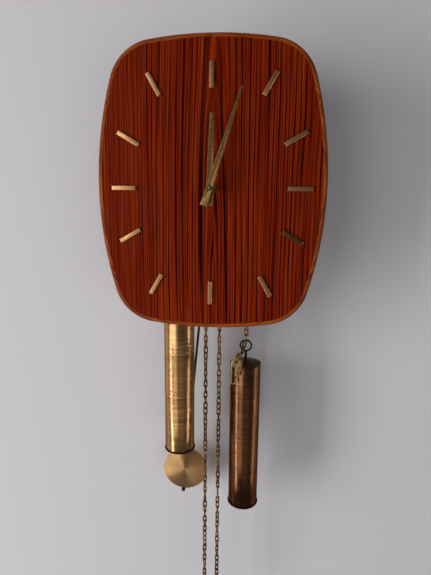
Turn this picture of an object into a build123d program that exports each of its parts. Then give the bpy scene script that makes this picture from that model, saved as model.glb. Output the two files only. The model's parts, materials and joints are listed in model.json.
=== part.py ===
"""Chain-driven pendulum wall clock with a veneered, barrel-shaped wooden face.

Millimetres. X runs to the right, Y towards the wall, Z up.
The origin is the hanging hole, on the plane of the wall.
"""
import os
from math import atan2, cos, degrees, hypot, radians, sin, sqrt, tan

from build123d import *

os.makedirs("parts", exist_ok=True)

# ---------------------------------------------------------------- driving dimensions
# Face
DIAL_Z = -105.0            # height of the hands' axis, below the hanging hole
FACE_FRONT_Y = -95.0       # front of the face, from the wall
FACE_THICK = 10.0
FACE_HALF_W = 125.0
FACE_HALF_H = 156.3
FACE_SIDE_R = 410.0        # radius of the long side curves
FACE_END_R = 437.0         # radius of the top and bottom curves
FACE_CORNER_R = 51.0
VENEER_THICK = 0.8
EDGE_BAND_W = 5.0
EDGE_BEVEL = 1.8
BAND_JOINTS = (90, 141, 219, 270, 321, 39)   # where the edge pieces butt, in degrees
JOINT_GAP = 0.12
FACE_BORE_R = 6.0

# Hour markers
MARKER_LENGTH = 26.5
MARKER_WIDTH = 5.0
MARKER_THICK = 2.0
MARKER_BEVEL = 0.45
MARKER_PIN_R = 0.7
MARKER_PIN_DEPTH = 6.0
MARKER_GAPS = (27.85, 31.916, 20.572, 15.65, 20.572, 31.916)   # outer ends to the edge, from 12

# Hands
MINUTE_LENGTH = 105.0
MINUTE_TAIL = 19.5
MINUTE_TIP_W = 2.4
MINUTE_TAIL_W = 8.2
HOUR_LENGTH = 75.5
HOUR_TAIL = 19.0
HOUR_TIP_W = 4.7
HOUR_TAIL_W = 8.4
HAND_THICK = 0.9
HAND_BEVEL = 0.3
MINUTE_ANGLE = 18.0        # clockwise from 12
HOUR_ANGLE = 1.5
HAND_NUT_R = 2.6
HAND_NUT_H = 1.6

# Case
CASE_HALF_W = 64.0
CASE_TOP_Z = 18.0
CASE_BOTTOM_Z = -201.0
WALL_THICK = 6.0
HANGER_THICK = 1.5
HANGER_R = 4.5             # round part of the keyhole
HANGER_SLOT_R = 2.2
HANGER_W = 44.0
HANGER_H = 24.0
HANGER_CLEAR = 0.2
HANGER_WINDOW_R = 8.5        # room behind the keyhole for the hook's head
SCREW_R = 1.5
SCREW_HEAD_R = 3.2
CHAIN_HOLE_R = 5.0
BATTEN = 10.0              # width of the strips that the face is screwed to
BATTEN_LENGTH = 26.0
BATTEN_DEPTH = 14.0
BATTEN_END_GAP = 18.0
CASE_SCREW_LENGTH = 16.0
BATTEN_SCREW_LENGTH = 20.0
POST_SCREW_LENGTH = 16.0
GONG_SCREW_LENGTH = 14.0
HANGER_SCREW_X = (-16.0, 16.0)
HANGER_SCREW_LENGTH = 5.5
PENDULUM_WAY_ANGLE = 6.5   # half the swing that the floor's slot allows

# Movement
PLATE_THICK = 1.5
PLATE_HALF_W = 53.0
PLATE_TOP = 73.0           # above the hands' axis
PLATE_BOTTOM = -49.0
FRONT_PLATE_Y = -76.0      # front surface of the front plate
PLATE_GAP = 36.5
PILLAR_R = 3.0
PILLAR_X = 49.0
PILLAR_TOP = 68.0
PILLAR_BOTTOM = -44.0
PIVOT_R = 0.8
PIVOT_CLEAR = 0.05
ARBOR_SHOULDER = 0.4       # from an arbor's shoulder to the plate
PIVOT_INSET = 0.2          # from a pivot's end to the plate's outer surface
CENTRE_ARBOR_R = 1.2
ANCHOR_ARBOR_R = 1.2
GREAT_ARBOR_R = 2.2
THIN_ARBOR_R = 1.0
NUT_R = 3.6
NUT_H = 2.4
STUD_R = 1.0
CANNON_R = 2.2
CANNON_TIP_R = 1.8         # where the minute hand fits
HOUR_PIPE_R = 3.3

# Gears: tooth counts and modules
GREAT_TEETH, CENTRE_PINION_TEETH, GREAT_MODULE = 96, 8, 0.5
STRIKE_GREAT_TEETH = 88    # smaller, to pass the centre arbor's pinion
CENTRE_TEETH, THIRD_PINION_TEETH, CENTRE_MODULE = 76, 8, 0.4
THIRD_TEETH, ESCAPE_PINION_TEETH, THIRD_MODULE = 77, 8, 0.35
ESCAPE_TEETH, ESCAPE_R = 30, 11.0
ESCAPE_TOOTH = 2.4
PALLET_CLEAR = 0.95        # room between the anchor and the escape wheel
CANNON_TEETH, MINUTE_WHEEL_TEETH, CANNON_MODULE = 12, 36, 0.5
MINUTE_PINION_TEETH, HOUR_WHEEL_TEETH = 10, 40
PIN_TEETH, WARNING_PINION_TEETH, PIN_MODULE = 72, 8, 0.4
WARNING_TEETH, FLY_PINION_TEETH, WARNING_MODULE = 64, 8, 0.35
GEAR_THICK = 1.4
RIM_W = 1.6
PINION_L = 4.0
GREAT_HUB_R = 5.0
GREAT_PHASE, CENTRE_PHASE, THIRD_PHASE, STRIKE_PHASE = 0.0, 0.0, 0.0, 180.0
MOTION_ANGLE = 215.0       # where the minute wheel sits, seen from the hands' axis
PIN_ANGLE, WARNING_ANGLE, FLY_ANGLE = 102.5, 46.0, 100.0
RATCHET_TEETH = 18
RATCHET_R = 11.0
RATCHET_DEPTH = 1.5
CLICK_OUT = 16.0           # from the great wheel's axis to the click's pivot
CLICK_TIP_Z = 6.5
CLICK_CLEAR = 0.7
CLICK_HUB_R = 2.4

# Striking
HAMMER_AT = (-36.5, 51.0)
HAMMER_ARBOR_R = 1.2
HAMMER_HEAD_Z = 84.0
HAMMER_HEAD_R = 4.0
HAMMER_HEAD_LENGTH = 12.0
STRIKE_PIN_R = 11.7
STRIKE_PINS = 8
FLY_W = 17.0
FLY_THICK = 0.8
FLY_FRONT, FLY_BACK = -60.0, -49.5
GONG_CLEAR = 0.8           # from the rods to the case side
GONG_ROD_YS = (-27.0, -21.0)
GONG_ROD_ENDS = (-82.0, -70.0)
GONG_ROD_R = 1.2
GONG_TOP = 104.0
GONG_BOTTOM = 92.0
GONG_SCREW_Z = 98.0
GONG_SCREW_X = (-53.0, -43.0)

# Chains and weights
CHAIN_W = 6.0              # outside width of a link
CHAIN_WHEEL_X = 25.25
CHAIN_PITCH_R = 16.75      # from the chain wheel's axis to the chain's middle
CHAIN_Y = -53.0
WEIGHT_R = 19.0
WEIGHT_LENGTH = 190.5
WEIGHT_WALL = 0.8
WEIGHT_LIP = 1.0
TIME_WEIGHT_TOP = -213.0   # top edge of the right weight, from the hands' axis
STRIKE_WEIGHT_TOP = -140.0
EYE_R = 6.9                # to the middle of the wire
EYE_WIRE_R = 1.1
EYE_RISE = 23.5            # from the weight's edge to the ring's middle
TIME_TAIL_END = -545.0     # from the hands' axis
STRIKE_TAIL_END = -566.0
CHAIN_GAP = 0.1            # between one stretch of a chain and the next
RING_R = 7.0               # pull rings
RING_WIRE_R = 1.2
STEM_R = 1.5
STEM_GRIP = 14.0
CAP_FOOT = 1.6
CAP_LID = 1.4
CAP_PLUG = 3.0
DOME_R = 16.0
DOME_TOP_R = 5.0
DOME_H = 3.0
CORE_GAP = 1.2
HOOK_WIDTH = 13.5
HOOK_LENGTH = 34.0
HOOK_THICK = 1.6
HOOK_HOLE_R = 2.2
HOOK_HOLE_AT = (0.3, -4.6)
HOOK_LOOP_R = 3.3
HOOK_SLOT_W = 3.6
HOOK_SLOT_TOP = -11.5
HOOK_POINT = (2.8, -23.5)
HOOK_MOUTH_TOP = -24.0
HOOK_MOUTH_END = -28.5
HOOK_LEFT = 10.7           # from the weight's middle to the hook's
HOOK_OUT = 3.4             # from the weight's front to the hook's front
HOOK_RISE = 14.0           # above the weight's edge

# Pendulum
PENDULUM_Y = -25.0
PENDULUM_PIVOT = 52.0      # above the hands' axis
PENDULUM_LENGTH = 435.0
PENDULUM_SWING = 5.15      # degrees to the left, as it stands
ROD_W = 3.0
BOB_R = 30.5
BOB_THICK = 9.0
BOB_EDGE = 1.2             # half the bob's thickness at its rim
ROD_D = 2.0
ROD_GRIP_W = 5.2
ROD_GRIP_D = 6.4
ROD_GRIP_H = 8.0
ROD_THREAD_R = 1.0
ROD_PAST_BOB = 6.0
RATING_NUT_R = 2.6
RATING_NUT_H = 4.4
CRUTCH_REACH = 42.0
CRUTCH_THICK = 1.6
CRUTCH_PRONG = 1.5
SPRING_HALF = 5.0
SPRING_W = 5.0
SPRING_THICK = 0.25
SPRING_SUNK = 2.5          # how far the spring goes into the rod's grip

# ---------------------------------------------------------------- worked-out places
FACE_BACK_Y = FACE_FRONT_Y + FACE_THICK
BACK_PANEL_Y = -WALL_THICK
BACK_PLATE_Y = FRONT_PLATE_Y + PLATE_THICK + PLATE_GAP
PLATES_FRONT = FRONT_PLATE_Y + PLATE_THICK
PLATES_BACK = BACK_PLATE_Y + PLATE_THICK
CENTRE_DISTANCE = GREAT_MODULE * (GREAT_TEETH + CENTRE_PINION_TEETH) / 2
PIN_DISTANCE = GREAT_MODULE * (STRIKE_GREAT_TEETH + CENTRE_PINION_TEETH) / 2
GREAT_Z = -sqrt(CENTRE_DISTANCE**2 - CHAIN_WHEEL_X**2)
GREAT_Y = PLATES_FRONT + 8.0
CENTRE_WHEEL_Y = PLATES_FRONT + 3.0
THIRD_Z = CENTRE_MODULE * (CENTRE_TEETH + THIRD_PINION_TEETH) / 2
THIRD_WHEEL_Y = BACK_PLATE_Y - 7.5
ESCAPE_Z = THIRD_Z + THIRD_MODULE * (THIRD_TEETH + ESCAPE_PINION_TEETH) / 2
ESCAPE_Y = BACK_PLATE_Y - 3.6
TAIL_X = CHAIN_WHEEL_X - CHAIN_PITCH_R
WEIGHT_X = CHAIN_WHEEL_X + CHAIN_PITCH_R
GONG_ROD_X = -(CASE_HALF_W - WALL_THICK - GONG_CLEAR - GONG_ROD_R)
HOOK_X = WEIGHT_X - HOOK_LEFT
HOOK_Y = CHAIN_Y - WEIGHT_R - HOOK_OUT
HOOK_TOP = TIME_WEIGHT_TOP + HOOK_RISE


# ---------------------------------------------------------------- helpers
def along_y(x, z, front, back, radius):
    """A round bar along Y, at x and z (z from the hands' axis)."""
    bar = Cylinder(radius, back - front)
    return Pos(x, (front + back) / 2, DIAL_Z + z) * Rot(90, 0, 0) * bar


def upright(x, y, bottom, top, radius):
    """A round bar along Z (heights from the hands' axis)."""
    return Pos(x, y, DIAL_Z + (bottom + top) / 2) * Cylinder(radius, top - bottom)


def plate(sketch, front, back, x=0.0, z=0.0):
    """A flat outline, drawn as seen from the front, given its thickness along Y."""
    return Pos(x, back, DIAL_Z + z) * Rot(90, 0, 0) * extrude(sketch, back - front)


def block(x0, x1, y0, y1, z0, z1):
    """A box between two corners, in the clock's own frame."""
    box = Box(x1 - x0, y1 - y0, z1 - z0)
    return Pos((x0 + x1) / 2, (y0 + y1) / 2, (z0 + z1) / 2) * box


def about_axis(shape, angle, z=0.0):
    """Turn a shape clockwise, as seen from the front, about a point on the centre line."""
    axis = Axis((0, 0, DIAL_Z + z), (0, 1, 0))
    return shape.rotate(axis, angle)


def group(solids):
    return Compound(children=[s for part in solids for s in part.solids()])


def save(name, shape):
    shape.label = name
    export_step(shape, f"parts/{name}.step")


# ---------------------------------------------------------------- gear teeth
def toothed(teeth, module, phase=0.0, tooth_share=0.40, addendum=0.85):
    """Outline of a gear with slim straight-sided teeth, as in a clock train."""
    pitch_r = teeth * module / 2
    root_r, tip_r = pitch_r - 1.25 * module, pitch_r + addendum * module
    step = 360 / teeth
    points = []
    for tooth in range(teeth):
        middle = phase + tooth * step
        shape = ((root_r, -0.62), (pitch_r, -0.5), (tip_r, -0.2),
                 (tip_r, 0.2), (pitch_r, 0.5), (root_r, 0.62))
        for radius, share in shape:
            angle = radians(middle + share * tooth_share * step)
            points.append((radius * cos(angle), radius * sin(angle)))
    return make_face(Polyline(*points, close=True))


def mesh_phase(teeth, driver_teeth, driver_phase, direction):
    """Phase that sets a tooth gap opposite the driver's tooth, along direction in degrees."""
    offset = (driver_phase - direction) * driver_teeth / 360 + 0.5
    return direction + 180 - offset * 360 / teeth


def crossed_wheel(teeth, module, phase, hub_r, spokes=5):
    """A gear with its web cut out between spokes."""
    outline = toothed(teeth, module, phase)
    rim_r = teeth * module / 2 - 1.25 * module - RIM_W
    ring_r = (rim_r + hub_r) / 2
    window_r = min((rim_r - hub_r - 0.8) / 2, ring_r * sin(radians(180 / spokes)) - 1.0)
    for spoke in range(spokes):
        angle = radians(phase + 360 / spokes * (spoke + 0.5))
        outline -= Pos(ring_r * cos(angle), ring_r * sin(angle)) * Circle(window_r)
    return outline


def pinion(teeth, module, phase):
    return toothed(teeth, module, phase, tooth_share=0.34, addendum=0.6)


def arbor(x, z, radius):
    """A pivoted arbor between the plates, with its shoulders clear of them."""
    shaft = along_y(x, z, PLATES_FRONT + ARBOR_SHOULDER, BACK_PLATE_Y - ARBOR_SHOULDER, radius)
    return shaft + along_y(x, z, FRONT_PLATE_Y + PIVOT_INSET, PLATES_BACK - PIVOT_INSET, PIVOT_R)


def gear_plate(outline, y, x=0.0, z=0.0, thick=GEAR_THICK):
    """A gear outline given its thickness, centred at y."""
    return plate(outline, y - thick / 2, y + thick / 2, x, z)


def direction(x0, z0, x1, z1):
    return degrees(atan2(z1 - z0, x1 - x0))


# ---------------------------------------------------------------- face
def barrel(inset=0.0):
    """The face's outline: long side and end curves joined by tighter corners."""
    half_w, half_h = FACE_HALF_W - inset, FACE_HALF_H - inset
    side_r, end_r, corner_r = FACE_SIDE_R - inset, FACE_END_R - inset, FACE_CORNER_R - inset
    side_c, end_c = half_w - side_r, half_h - end_r
    to_side, to_end = side_r - corner_r, end_r - corner_r
    apart = hypot(side_c, end_c)
    reach = (to_side**2 - to_end**2 + apart**2) / (2 * apart)
    rise = sqrt(to_side**2 - reach**2)
    ux, uz = -side_c / apart, end_c / apart
    corner_x = side_c + ux * reach - uz * rise
    corner_z = uz * reach + ux * rise
    side_angle = atan2(corner_z, corner_x - side_c)
    end_angle = atan2(corner_z - end_c, corner_x)
    middle_angle = (side_angle + end_angle) / 2
    side_pt = (corner_x + corner_r * cos(side_angle), corner_z + corner_r * sin(side_angle))
    end_pt = (corner_x + corner_r * cos(end_angle), corner_z + corner_r * sin(end_angle))
    mid_pt = (corner_x + corner_r * cos(middle_angle), corner_z + corner_r * sin(middle_angle))

    def at(point, sx, sz):
        return (point[0] * sx, point[1] * sz)

    edges = [ThreePointArc(at(side_pt, 1, -1), (half_w, 0), side_pt)]
    edges.append(ThreePointArc(side_pt, mid_pt, end_pt))
    edges.append(ThreePointArc(end_pt, (0, half_h), at(end_pt, -1, 1)))
    edges.append(ThreePointArc(at(end_pt, -1, 1), at(mid_pt, -1, 1), at(side_pt, -1, 1)))
    edges.append(ThreePointArc(at(side_pt, -1, 1), (-half_w, 0), at(side_pt, -1, -1)))
    edges.append(ThreePointArc(at(side_pt, -1, -1), at(mid_pt, -1, -1), at(end_pt, -1, -1)))
    edges.append(ThreePointArc(at(end_pt, -1, -1), (0, -half_h), at(end_pt, 1, -1)))
    edges.append(ThreePointArc(at(end_pt, 1, -1), at(mid_pt, 1, -1), at(side_pt, 1, -1)))
    return make_face(edges)


def marker_places():
    """Angle clockwise from 12 of each hour marker, and the radius of its middle."""
    face = barrel()
    places = []
    for hour in range(12):
        angle = radians(30 * hour)
        ray = Line((0, 0), (2 * FACE_HALF_H * sin(angle), 2 * FACE_HALF_H * cos(angle)))
        edge_r = (face & ray).edge().length
        places.append((30 * hour, edge_r - MARKER_GAPS[hour % 6] - MARKER_LENGTH / 2))
    return places


def marker_pins(radius, depth):
    pins = []
    for angle, reach in marker_places():
        for side in (-1, 1):
            along = reach + side * MARKER_LENGTH * 0.3
            pin = along_y(0, along, FACE_FRONT_Y, FACE_FRONT_Y + depth, radius)
            pins.append(about_axis(pin, angle))
    return pins


def make_face_parts(board_holes):
    split_y = FACE_FRONT_Y + VENEER_THICK
    holes = marker_pins(MARKER_PIN_R + PIVOT_CLEAR, MARKER_PIN_DEPTH + 0.5)
    holes.append(along_y(0, 0, FACE_FRONT_Y, FACE_BACK_Y, FACE_BORE_R))
    inner = barrel(EDGE_BAND_W)
    save("face_veneer", plate(inner, FACE_FRONT_Y, split_y) - holes)
    save("face_board", plate(inner, split_y, FACE_BACK_Y) - holes - board_holes)

    band = plate(barrel(), FACE_FRONT_Y, FACE_BACK_Y)
    band = chamfer(band.faces().sort_by(Axis.Y)[0].edges(), EDGE_BEVEL)
    band = chamfer(band.faces().sort_by(Axis.Y)[-1].edges(), EDGE_BEVEL / 2)
    band -= plate(inner, FACE_FRONT_Y, FACE_BACK_Y)
    reach = hypot(FACE_HALF_W, FACE_HALF_H) + EDGE_BAND_W
    blade = Rectangle(reach, JOINT_GAP, align=(Align.MIN, Align.CENTER))
    for angle in BAND_JOINTS:
        kerf = plate(blade, FACE_FRONT_Y - 1, FACE_BACK_Y + 1)
        band -= about_axis(kerf, -angle)
    save("edge_banding", group([band]))


def make_hour_markers():
    bars = []
    bar_shape = Rectangle(MARKER_WIDTH, MARKER_LENGTH)
    for angle, reach in marker_places():
        bar = plate(bar_shape, FACE_FRONT_Y - MARKER_THICK, FACE_FRONT_Y, z=reach)
        front = bar.faces().sort_by(Axis.Y)[0].edges()
        bar = chamfer(front, MARKER_BEVEL)
        for side in (-1, 1):
            along = reach + side * MARKER_LENGTH * 0.3
            bar += along_y(0, along, FACE_FRONT_Y - 0.5, FACE_FRONT_Y + MARKER_PIN_DEPTH, MARKER_PIN_R)
        bars.append(about_axis(bar, angle))
    save("hour_markers", group(bars))


# ---------------------------------------------------------------- case
CASE_IN_W = CASE_HALF_W - WALL_THICK


def case_joint_screws():
    """Screws: (x, y, z, axis, head side, length) in the clock's frame."""
    screws = []
    for side in (-1, 1):
        for z in (CASE_TOP_Z - WALL_THICK / 2, CASE_BOTTOM_Z + WALL_THICK / 2):
            for y in (FACE_BACK_Y + 16.0, BACK_PANEL_Y - 14.0):
                screws.append((side * CASE_HALF_W, y, z, "x", side, CASE_SCREW_LENGTH))
        for z in (CASE_TOP_Z - 30.0, (CASE_TOP_Z + CASE_BOTTOM_Z) / 2, CASE_BOTTOM_Z + 30.0):
            y = BACK_PANEL_Y + WALL_THICK / 2
            screws.append((side * CASE_HALF_W, y, z, "x", side, CASE_SCREW_LENGTH))
    return screws


def face_screws():
    """Where the battens hold the face board, in the clock's frame."""
    return [(side * (CASE_IN_W - BATTEN / 2), z) for side in (-1, 1)
            for z in (CASE_TOP_Z - WALL_THICK - BATTEN_END_GAP, CASE_BOTTOM_Z + WALL_THICK + BATTEN_END_GAP)]


def screw(x, y, z, axis, side, length, radius=SCREW_R, head_r=SCREW_HEAD_R):
    """A countersunk wood screw whose head is flush with the surface at the given point."""
    head_h = head_r - radius
    body = Pos(0, 0, -length / 2) * Cylinder(radius, length)
    head = Pos(0, 0, -head_h / 2) * Cone(radius, head_r, head_h)
    slot = Pos(0, 0, -0.3) * Box(head_r * 2, 0.7, 0.6)
    shape = body + head - slot
    turn = {"x": Rot(0, 90 * side, 0), "y": Rot(-90 * side, 0, 0)}[axis]
    return Pos(x, y, z) * turn * shape


def screw_hole(x, y, z, axis, side, length, radius=SCREW_R, head_r=SCREW_HEAD_R):
    """The countersunk hole that such a screw fills."""
    head_h = head_r - radius
    body = Pos(0, 0, -length / 2) * Cylinder(radius, length)
    head = Pos(0, 0, -head_h / 2) * Cone(radius, head_r, head_h)
    turn = {"x": Rot(0, 90 * side, 0), "y": Rot(-90 * side, 0, 0)}[axis]
    return Pos(x, y, z) * turn * (body + head)


def batten_hole(x, z):
    return screw_hole(x, FACE_BACK_Y + BATTEN_DEPTH, z, "y", 1, BATTEN_SCREW_LENGTH)


def make_case():
    side_screws = case_joint_screws()
    holes = [screw_hole(*s) for s in side_screws]
    sides = []
    for side in (-1, 1):
        x0, x1 = sorted((side * CASE_IN_W, side * CASE_HALF_W))
        panel = block(x0, x1, FACE_BACK_Y, 0, CASE_BOTTOM_Z, CASE_TOP_Z)
        sides.append(panel - holes)

    front, back = FACE_BACK_Y, BACK_PANEL_Y
    top = block(-CASE_IN_W, CASE_IN_W, front, back, CASE_TOP_Z - WALL_THICK, CASE_TOP_Z)
    save("case_top", top - holes)

    floor = block(-CASE_IN_W, CASE_IN_W, front, back, CASE_BOTTOM_Z, CASE_BOTTOM_Z + WALL_THICK)
    floor_mid = CASE_BOTTOM_Z - DIAL_Z
    for x in (-WEIGHT_X, -TAIL_X, TAIL_X, WEIGHT_X):
        floor -= upright(x, CHAIN_Y, floor_mid - 1, floor_mid + WALL_THICK + 1, CHAIN_HOLE_R)
    drop = PENDULUM_PIVOT - floor_mid
    slot_half = drop * sin(radians(PENDULUM_WAY_ANGLE)) + ROD_W / 2 + 3.0
    slot_z = CASE_BOTTOM_Z - 1, CASE_BOTTOM_Z + WALL_THICK + 1
    floor -= block(-slot_half, slot_half, PENDULUM_Y - 4.0, PENDULUM_Y + 4.0, *slot_z)
    save("case_floor", floor - holes)

    panel = block(-CASE_IN_W, CASE_IN_W, BACK_PANEL_Y, 0, CASE_BOTTOM_Z, CASE_TOP_Z)
    half_w, half_h = HANGER_W / 2 + HANGER_CLEAR, HANGER_H / 2 + HANGER_CLEAR
    panel -= block(-half_w, half_w, -HANGER_THICK, 1, -half_h, half_h)
    panel -= along_y(0, -DIAL_Z, BACK_PANEL_Y - 1, 0, HANGER_WINDOW_R)
    panel -= holes
    for x, z in post_places():
        panel -= along_y(x, z, BACK_PANEL_Y - 1, 0, SCREW_R)
        panel -= screw_hole(x, 0, DIAL_Z + z, "y", 1, POST_SCREW_LENGTH)
    for x in GONG_SCREW_X:
        panel -= screw_hole(x, 0, DIAL_Z + GONG_SCREW_Z, "y", 1, GONG_SCREW_LENGTH)
    hanger_holes = [hanger_screw_hole(x) for x in HANGER_SCREW_X]
    save("case_back", panel - hanger_holes)

    battens = []
    for x, z in face_screws():
        batten = block(x - BATTEN / 2, x + BATTEN / 2, FACE_BACK_Y, FACE_BACK_Y + BATTEN_DEPTH,
                       z - BATTEN_LENGTH / 2, z + BATTEN_LENGTH / 2)
        battens.append(batten - batten_hole(x, z))
    save("case_sides", group(sides + battens))

    return side_screws, [batten_hole(x, z) for x, z in face_screws()]


def hanger_screw_hole(x):
    return along_y(x, -DIAL_Z, -HANGER_SCREW_LENGTH, 0, SCREW_R)


def make_hanger():
    """Steel plate with a keyhole: a round hole and a narrower slot above it."""
    outline = RectangleRounded(HANGER_W, HANGER_H, 4)
    outline -= Circle(HANGER_R)
    outline -= Pos(0, 4.2) * SlotOverall(8.4 + HANGER_SLOT_R * 2, HANGER_SLOT_R * 2, rotation=90)
    body = plate(outline, -HANGER_THICK, 0, z=-DIAL_Z)
    body -= [hanger_screw_hole(x) for x in HANGER_SCREW_X]
    save("hanger_plate", body)


def hanger_screws():
    screws = []
    for x in HANGER_SCREW_X:
        shank = along_y(x, -DIAL_Z, -HANGER_SCREW_LENGTH, -0.3, SCREW_R)
        screws.append(shank)
    return screws


# ---------------------------------------------------------------- movement frame
def post_places():
    return [(side * PILLAR_X, z) for side in (-1, 1) for z in (PILLAR_BOTTOM, PILLAR_TOP)]


def pivots():
    """Every arbor's x and z, from the hands' axis."""
    return {
        "time_great": (CHAIN_WHEEL_X, GREAT_Z),
        "strike_great": (-CHAIN_WHEEL_X, GREAT_Z),
        "third": (0.0, THIRD_Z),
        "escape": (0.0, ESCAPE_Z),
        "pin": PIN_AT,
        "warning": WARNING_AT,
        "fly": FLY_AT,
        "hammer": HAMMER_AT,
    }


def on_circle(centre, radius, angle):
    return (centre[0] + radius * cos(radians(angle)), centre[1] + radius * sin(radians(angle)))


PIN_AT = on_circle((-CHAIN_WHEEL_X, GREAT_Z), PIN_DISTANCE, PIN_ANGLE)
WARNING_AT = on_circle(PIN_AT, PIN_MODULE * (PIN_TEETH + WARNING_PINION_TEETH) / 2, WARNING_ANGLE)
FLY_AT = on_circle(WARNING_AT, WARNING_MODULE * (WARNING_TEETH + FLY_PINION_TEETH) / 2, FLY_ANGLE)


def make_plates():
    width = PLATE_HALF_W * 2
    height = PLATE_TOP - PLATE_BOTTOM
    middle = (PLATE_TOP + PLATE_BOTTOM) / 2
    outline = Pos(0, middle) * RectangleRounded(width, height, 4)
    for x, z in post_places():
        outline -= Pos(x, z) * Circle(SCREW_R)
    for x, z in pivots().values():
        outline -= Pos(x, z) * Circle(PIVOT_R + PIVOT_CLEAR)
    outline -= Pos(0, PENDULUM_PIVOT) * Circle(ANCHOR_ARBOR_R + PIVOT_CLEAR)
    outline -= Circle(CENTRE_ARBOR_R + PIVOT_CLEAR)
    front = outline
    stud = along_y(*MINUTE_WHEEL_AT, HOUR_WHEEL_Y - 2.0, PLATES_FRONT, STUD_R)
    save("front_plate", plate(front, FRONT_PLATE_Y, PLATES_FRONT) + stud)

    back = outline - Pos(HAMMER_AT) * Circle(HAMMER_ARBOR_R + PIVOT_CLEAR)
    save("back_plate", plate(back, BACK_PLATE_Y, PLATES_BACK))

    pillars, posts = [], []
    for x, z in post_places():
        pillar = along_y(x, z, PLATES_FRONT, BACK_PLATE_Y, PILLAR_R)
        pillar += along_y(x, z, FRONT_PLATE_Y - 2.5, PLATES_FRONT, SCREW_R)
        pillar += along_y(x, z, BACK_PLATE_Y, PLATES_BACK + 3.5, SCREW_R)
        pillars.append(pillar)
        post = along_y(x, z, PLATES_BACK, BACK_PANEL_Y, PILLAR_R + 0.5)
        post -= along_y(x, z, PLATES_BACK, PLATES_BACK + 3.5, SCREW_R)
        post -= along_y(x, z, BACK_PANEL_Y - 10.0, BACK_PANEL_Y, SCREW_R)
        posts.append(post)
    save("pillars", group(pillars))
    save("movement_posts", group(posts))

    nuts = []
    for x, z in post_places():
        nut = RegularPolygon(NUT_R, 6) - Circle(SCREW_R)
        nuts.append(plate(nut, FRONT_PLATE_Y - NUT_H, FRONT_PLATE_Y, x, z))
    save("pillar_nuts", group(nuts))


def make_case_screws(side_screws):
    screws = [screw(*s) for s in side_screws]
    for x, z in face_screws():
        screws.append(screw(x, FACE_BACK_Y + BATTEN_DEPTH, z, "y", 1, BATTEN_SCREW_LENGTH))
    for x, z in post_places():
        screws.append(screw(x, 0, DIAL_Z + z, "y", 1, POST_SCREW_LENGTH))
    for x in GONG_SCREW_X:
        screws.append(screw(x, 0, DIAL_Z + GONG_SCREW_Z, "y", 1, GONG_SCREW_LENGTH))
    screws += hanger_screws()
    save("case_screws", group(screws))


# ---------------------------------------------------------------- going train
TO_CENTRE = direction(CHAIN_WHEEL_X, GREAT_Z, 0, 0)
CENTRE_PINION_PHASE = mesh_phase(CENTRE_PINION_TEETH, GREAT_TEETH, GREAT_PHASE, TO_CENTRE)
THIRD_PINION_PHASE = mesh_phase(THIRD_PINION_TEETH, CENTRE_TEETH, CENTRE_PHASE, 90)
ESCAPE_PINION_PHASE = mesh_phase(ESCAPE_PINION_TEETH, THIRD_TEETH, THIRD_PHASE, 90)


def great_wheel(x, mirror, teeth, phase):
    """The great wheel on its arbor, which also carries the loose chain wheel."""
    wheel = crossed_wheel(teeth, GREAT_MODULE, phase, GREAT_HUB_R)
    body = gear_plate(wheel, GREAT_Y, x, GREAT_Z)
    body += arbor(x, GREAT_Z, GREAT_ARBOR_R)
    body += along_y(x, GREAT_Z, GREAT_Y - 3.0, GREAT_Y + 2.0, GREAT_HUB_R - 1.0)
    click_x, click_z = x + mirror * CLICK_OUT, GREAT_Z
    body += along_y(click_x, click_z, GREAT_Y, RATCHET_Y + GEAR_THICK, THIN_ARBOR_R)
    return body


RATCHET_Y = GREAT_Y + 2.6
CHAIN_FLANGE_R = CHAIN_PITCH_R + 0.9
CHAIN_CORE_R = CHAIN_PITCH_R - CHAIN_W / 2 - 0.3
CHAIN_SLOT = CHAIN_W + 0.6


def ratchet(teeth, radius, depth):
    """Saw-toothed ratchet outline."""
    points = []
    for tooth in range(teeth):
        angle = radians(tooth * 360 / teeth)
        points.append((radius * cos(angle), radius * sin(angle)))
        points.append(((radius - depth) * cos(angle), (radius - depth) * sin(angle)))
    return make_face(Polyline(*points, close=True))


def chain_wheel(x):
    """Chain wheel: a core between two notched flanges, with its ratchet in front."""
    bore = GREAT_ARBOR_R + PIVOT_CLEAR
    flange = RegularPolygon(CHAIN_FLANGE_R, 14)
    front, back = CHAIN_Y - CHAIN_SLOT / 2, CHAIN_Y + CHAIN_SLOT / 2
    body = along_y(x, GREAT_Z, front - 1.0, back + 1.0, CHAIN_CORE_R)
    body += plate(flange, front - 1.0, front, x, GREAT_Z)
    body += plate(flange, back, back + 1.0, x, GREAT_Z)
    teeth = ratchet(RATCHET_TEETH, RATCHET_R, RATCHET_DEPTH)
    body += plate(teeth, RATCHET_Y, RATCHET_Y + GEAR_THICK, x, GREAT_Z)
    body += along_y(x, GREAT_Z, RATCHET_Y, front, 6.0)
    return body - along_y(x, GREAT_Z, RATCHET_Y - 1, back + 2.0, bore)


def click(x, mirror):
    """Click pivoted on the great wheel, with its tip just clear of the ratchet."""
    pivot_x = x + mirror * CLICK_OUT
    tip_x = sqrt((RATCHET_R + CLICK_CLEAR)**2 - CLICK_TIP_Z**2) - CLICK_OUT
    tip_z = CLICK_TIP_Z
    arm = Polyline((-1.4, 1.2), (1.8, 1.2), (tip_x + 1.2, tip_z + 1.4), (tip_x, tip_z), close=True)
    shape = Circle(CLICK_HUB_R) + make_face(arm) - Circle(THIN_ARBOR_R + PIVOT_CLEAR)
    if mirror < 0:
        shape = shape.mirror(Plane.YZ)
    return plate(shape, RATCHET_Y, RATCHET_Y + GEAR_THICK, pivot_x, GREAT_Z)


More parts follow.
